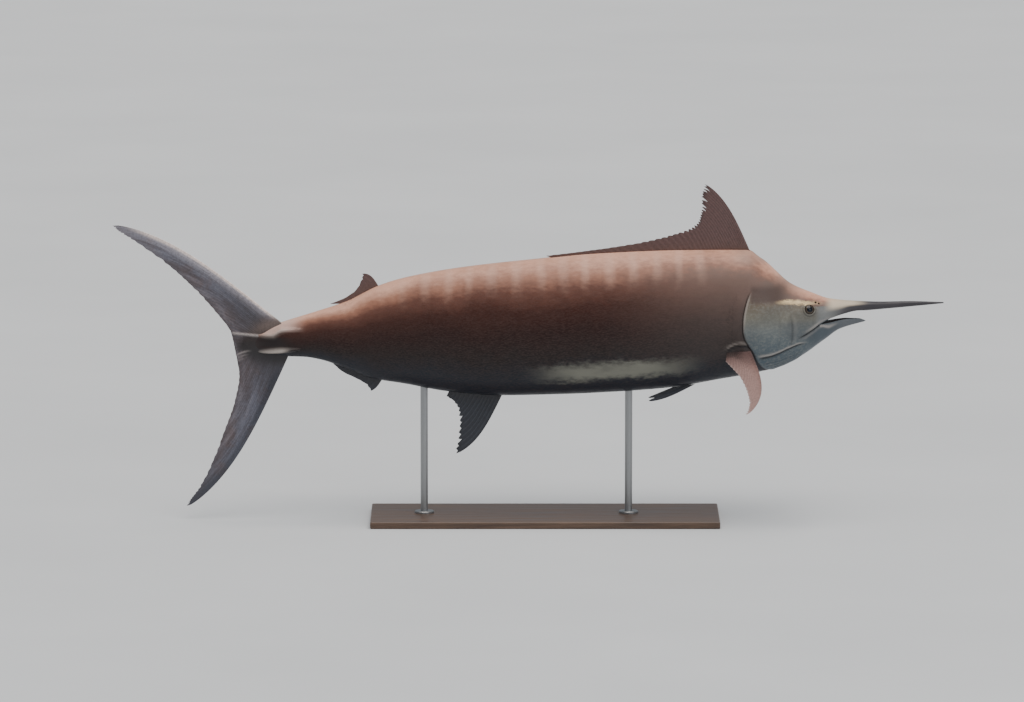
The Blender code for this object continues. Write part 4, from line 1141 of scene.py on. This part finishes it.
def scale_roots():
    """Each scale's x, column, room across and share of the way round, in staggered rows."""
    x = stations()
    places = []
    for number, row_x in enumerate(np.arange(-1.275, 1.02, ROW_STEP)):
        ring = trunk[int(round(float(np.interp(row_x, x, np.arange(len(x))))))]
        arc = np.concatenate([[0.0], np.cumsum(np.linalg.norm(np.diff(ring, axis=0), axis=1))])
        count = ROW_COUNT
        while arc[-1] / count < LEAST_ROOM:
            count //= 2
        shift = 0.5 * (number % 2) + rng.uniform(-0.16, 0.16, count)
        wanted = (np.arange(count) + 0.5 + shift) / count % 1.0 * arc[-1]
        k = np.interp(wanted, arc, np.arange(len(arc)))
        x_all = row_x + rng.uniform(-0.45, 0.45, count) * ROW_STEP
        places.append(np.stack([x_all, k, np.full(count, arc[-1] / count), wanted / arc[-1]], 1))
    return np.concatenate(places)


def cover(x, deg):
    """Share of full size that the scales have at a place; 0 where the skin is bare."""
    gill = curve(GILL_EDGE, deg) - x - 0.012 * smooth(-60.0, -78.0, deg)
    bare = (gill < 0.0065) & (deg < 26.0) | (deg > 85.0) & (x > 0.0) | (x < -1.205)
    share = smooth(1.02, 0.90, x) * smooth(-1.215, -1.10, x)
    share *= np.where(deg < 26.0, 0.6 + 0.4 * smooth(0.006, 0.016, gill), 1.0)
    armpit = np.hypot((x - 0.830) / 0.062, (deg + 28.0) / 7.0)
    return np.where(bare, 0.0, share * (0.3 + 0.7 * smooth(0.9, 1.3, armpit)))


def lay_scales():
    """Each scale's points, level, tone, painted crease shade, painted ridge highlight and unwrap
    places.
    """
    x, k, room, share = scale_roots().T
    last_column = trunk.shape[1] - 1.001
    k = np.clip(k, 0, last_column)
    i = ring_number(x, k)
    angle, crease, pale = (blend(grid, i, k) for grid in (trunk_angle, trunk_crease, trunk_ridge_highlight))
    size = cover(x, side_of(angle))
    keep = size > rng.uniform(0.0, 0.25, len(size))
    x, k, i, room, share, angle, crease, pale, size = (
        part[keep] for part in (x, k, i, room, share, angle, crease, pale, 0.35 + 0.65 * size))
    n, points = len(x), len(SCALE)
    wide = room * 1.65 * rng.uniform(0.9, 1.1, n) * size
    long = np.minimum(LONGEST, wide * 3.8) * rng.uniform(0.85, 1.15, n)
    high = THICKEST * rng.uniform(0.8, 1.2, n) * np.minimum(wide / 0.0055, 1.0) * size
    yaw = rng.normal(0.0, 0.05, n)[:, None]
    ahead, aside = SCALE[:, 0] * long[:, None], SCALE[:, 1] * wide[:, None]
    cell = np.linalg.norm(blend(trunk, i, np.minimum(k + 0.5, last_column))
                          - blend(trunk, i, np.maximum(k - 0.5, 0.0)), axis=1)[:, None]
    column = k[:, None] + (aside * np.cos(yaw) + ahead * np.sin(yaw)) / np.maximum(cell, 1e-4)
    column = np.clip(column, 0.0, last_column).reshape(-1)
    along = (x[:, None] + ahead * np.cos(yaw) - aside * np.sin(yaw)).reshape(-1)
    row = ring_number(along, column)
    rise = (SCALE[:, 2] * high[:, None]).reshape(-1, 1)
    co = (blend(trunk, row, column) + way_out(row, column) * rise).reshape(n, points, 3)
    uv = 0.004 + 0.992 * np.stack([(x + 1.32) / 2.70, share], 1)
    uv = uv[:, None] + PATCH * SCALE[:, :2] / 0.62
    # leave out those that the sharp bends by the gill would stretch, widen or tip over
    back = co[:, np.argmin(SCALE[:, 0])] - co[:, np.argmax(SCALE[:, 0])]
    over = co[:, np.argmin(SCALE[:, 1])] - co[:, np.argmax(SCALE[:, 1])]
    flat = -np.sum(np.cross(back, over) * way_out(i, k), axis=1) / (long * wide)
    even = np.abs(np.linalg.norm(back, axis=1) / long - 1.0) < 0.25
    even &= np.abs(np.linalg.norm(over, axis=1) / wide - 1.0) < 0.35
    even &= np.abs(flat - np.median(flat)) < 0.15
    print("scales left out at sharp bends:", int(np.sum(~even)))
    return [part[even] for part in (co, np.sin(angle), rng.normal(0.0, 1.0, n), crease, pale, uv)]


def coat_piece(name, co, level, tone, crease, pale, uv):
    """One mesh of many scales, with its marks and its unwrap."""
    n, points = co.shape[:2]
    corners = (SCALE_FACES + points * np.arange(n)[:, None, None]).reshape(-1)
    mesh = bpy.data.meshes.new(name)
    mesh.vertices.add(n * points)
    mesh.vertices.foreach_set("co", co.reshape(-1))
    mesh.loops.add(len(corners))
    mesh.loops.foreach_set("vertex_index", corners)
    mesh.polygons.add(len(corners) // 3)
    mesh.polygons.foreach_set("loop_start", np.arange(0, len(corners), 3))
    mesh.update(calc_edges=True)
    carry(mesh, {mark: np.repeat(values, points) for mark, values in (
        ("level", level), ("tone", tone), ("crease", crease), ("pale", pale))})
    unwrap = uv.reshape(-1, 2)[corners].reshape(-1)
    mesh.uv_layers.new(name="OFBake").data.foreach_set("uv", unwrap)
    coat = bpy.data.objects.new(name, mesh)
    bpy.context.scene.collection.objects.link(coat)
    coat.data.materials.append(skin.data.materials[0])
    pick_nothing()
    coat.select_set(True)
    bpy.context.view_layer.objects.active = coat
    bpy.ops.object.shade_smooth_by_angle(angle=math.radians(60.0))
    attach(coat, "root")
    print(name, n, "scales,", len(corners) // 3, "triangles")


scales = lay_scales()
pieces = math.ceil(len(scales[0]) * len(SCALE_FACES) / 190000)
for number, chosen in enumerate(np.array_split(np.argsort(scales[0][:, 0, 0]), pieces)):
    coat_piece(f"scales_{number + 1}", *(part[chosen] for part in scales))

# %% [markdown]
# ## Stand
# The base and the rods keep their solids, which are already the right shape, and get a dark oiled
# wood and a brushed steel.


# %% Stand finishes
def wood():
    p = Painter("oiled wood", roughness=0.45, coat=0.15)
    grain = p.noise(5.0, (0.6, 9.0, 9.0), 6.0, 0.65)
    fine = p.noise(40.0, (0.5, 14.0, 14.0), 3.0)
    tone = p.ramp(grain, [(0.30, (50, 27, 17)), (0.52, (110, 62, 38)),
                          (0.72, (160, 95, 60))])
    p.colour(p.mix(p.between(fine, 0.35, 0.7, 0.0, 0.5), tone, (45, 25, 16)))
    p.gloss(p.between(grain, 0.3, 0.7, 0.38, 0.55))
    p.relief(fine, 0.25, 0.0006)
    return p.material


def brushed_steel():
    p = Painter("brushed steel", roughness=0.4, metallic=1.0)
    brush = p.noise(90.0, (1.0, 1.0, 0.05), 3.0)
    p.colour(p.mix(brush, (270, 275, 280), (400, 405, 410)))
    p.gloss(p.between(brush, 0.3, 0.7, 0.34, 0.50))
    p.relief(brush, 0.08, 0.0003)
    return p.material


for node, finish in (("stand_base", wood()), ("stand_rod_front", brushed_steel()),
                     ("stand_rod_rear", brushed_steel())):
    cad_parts[node].data.materials.clear()
    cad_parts[node].data.materials.append(finish)
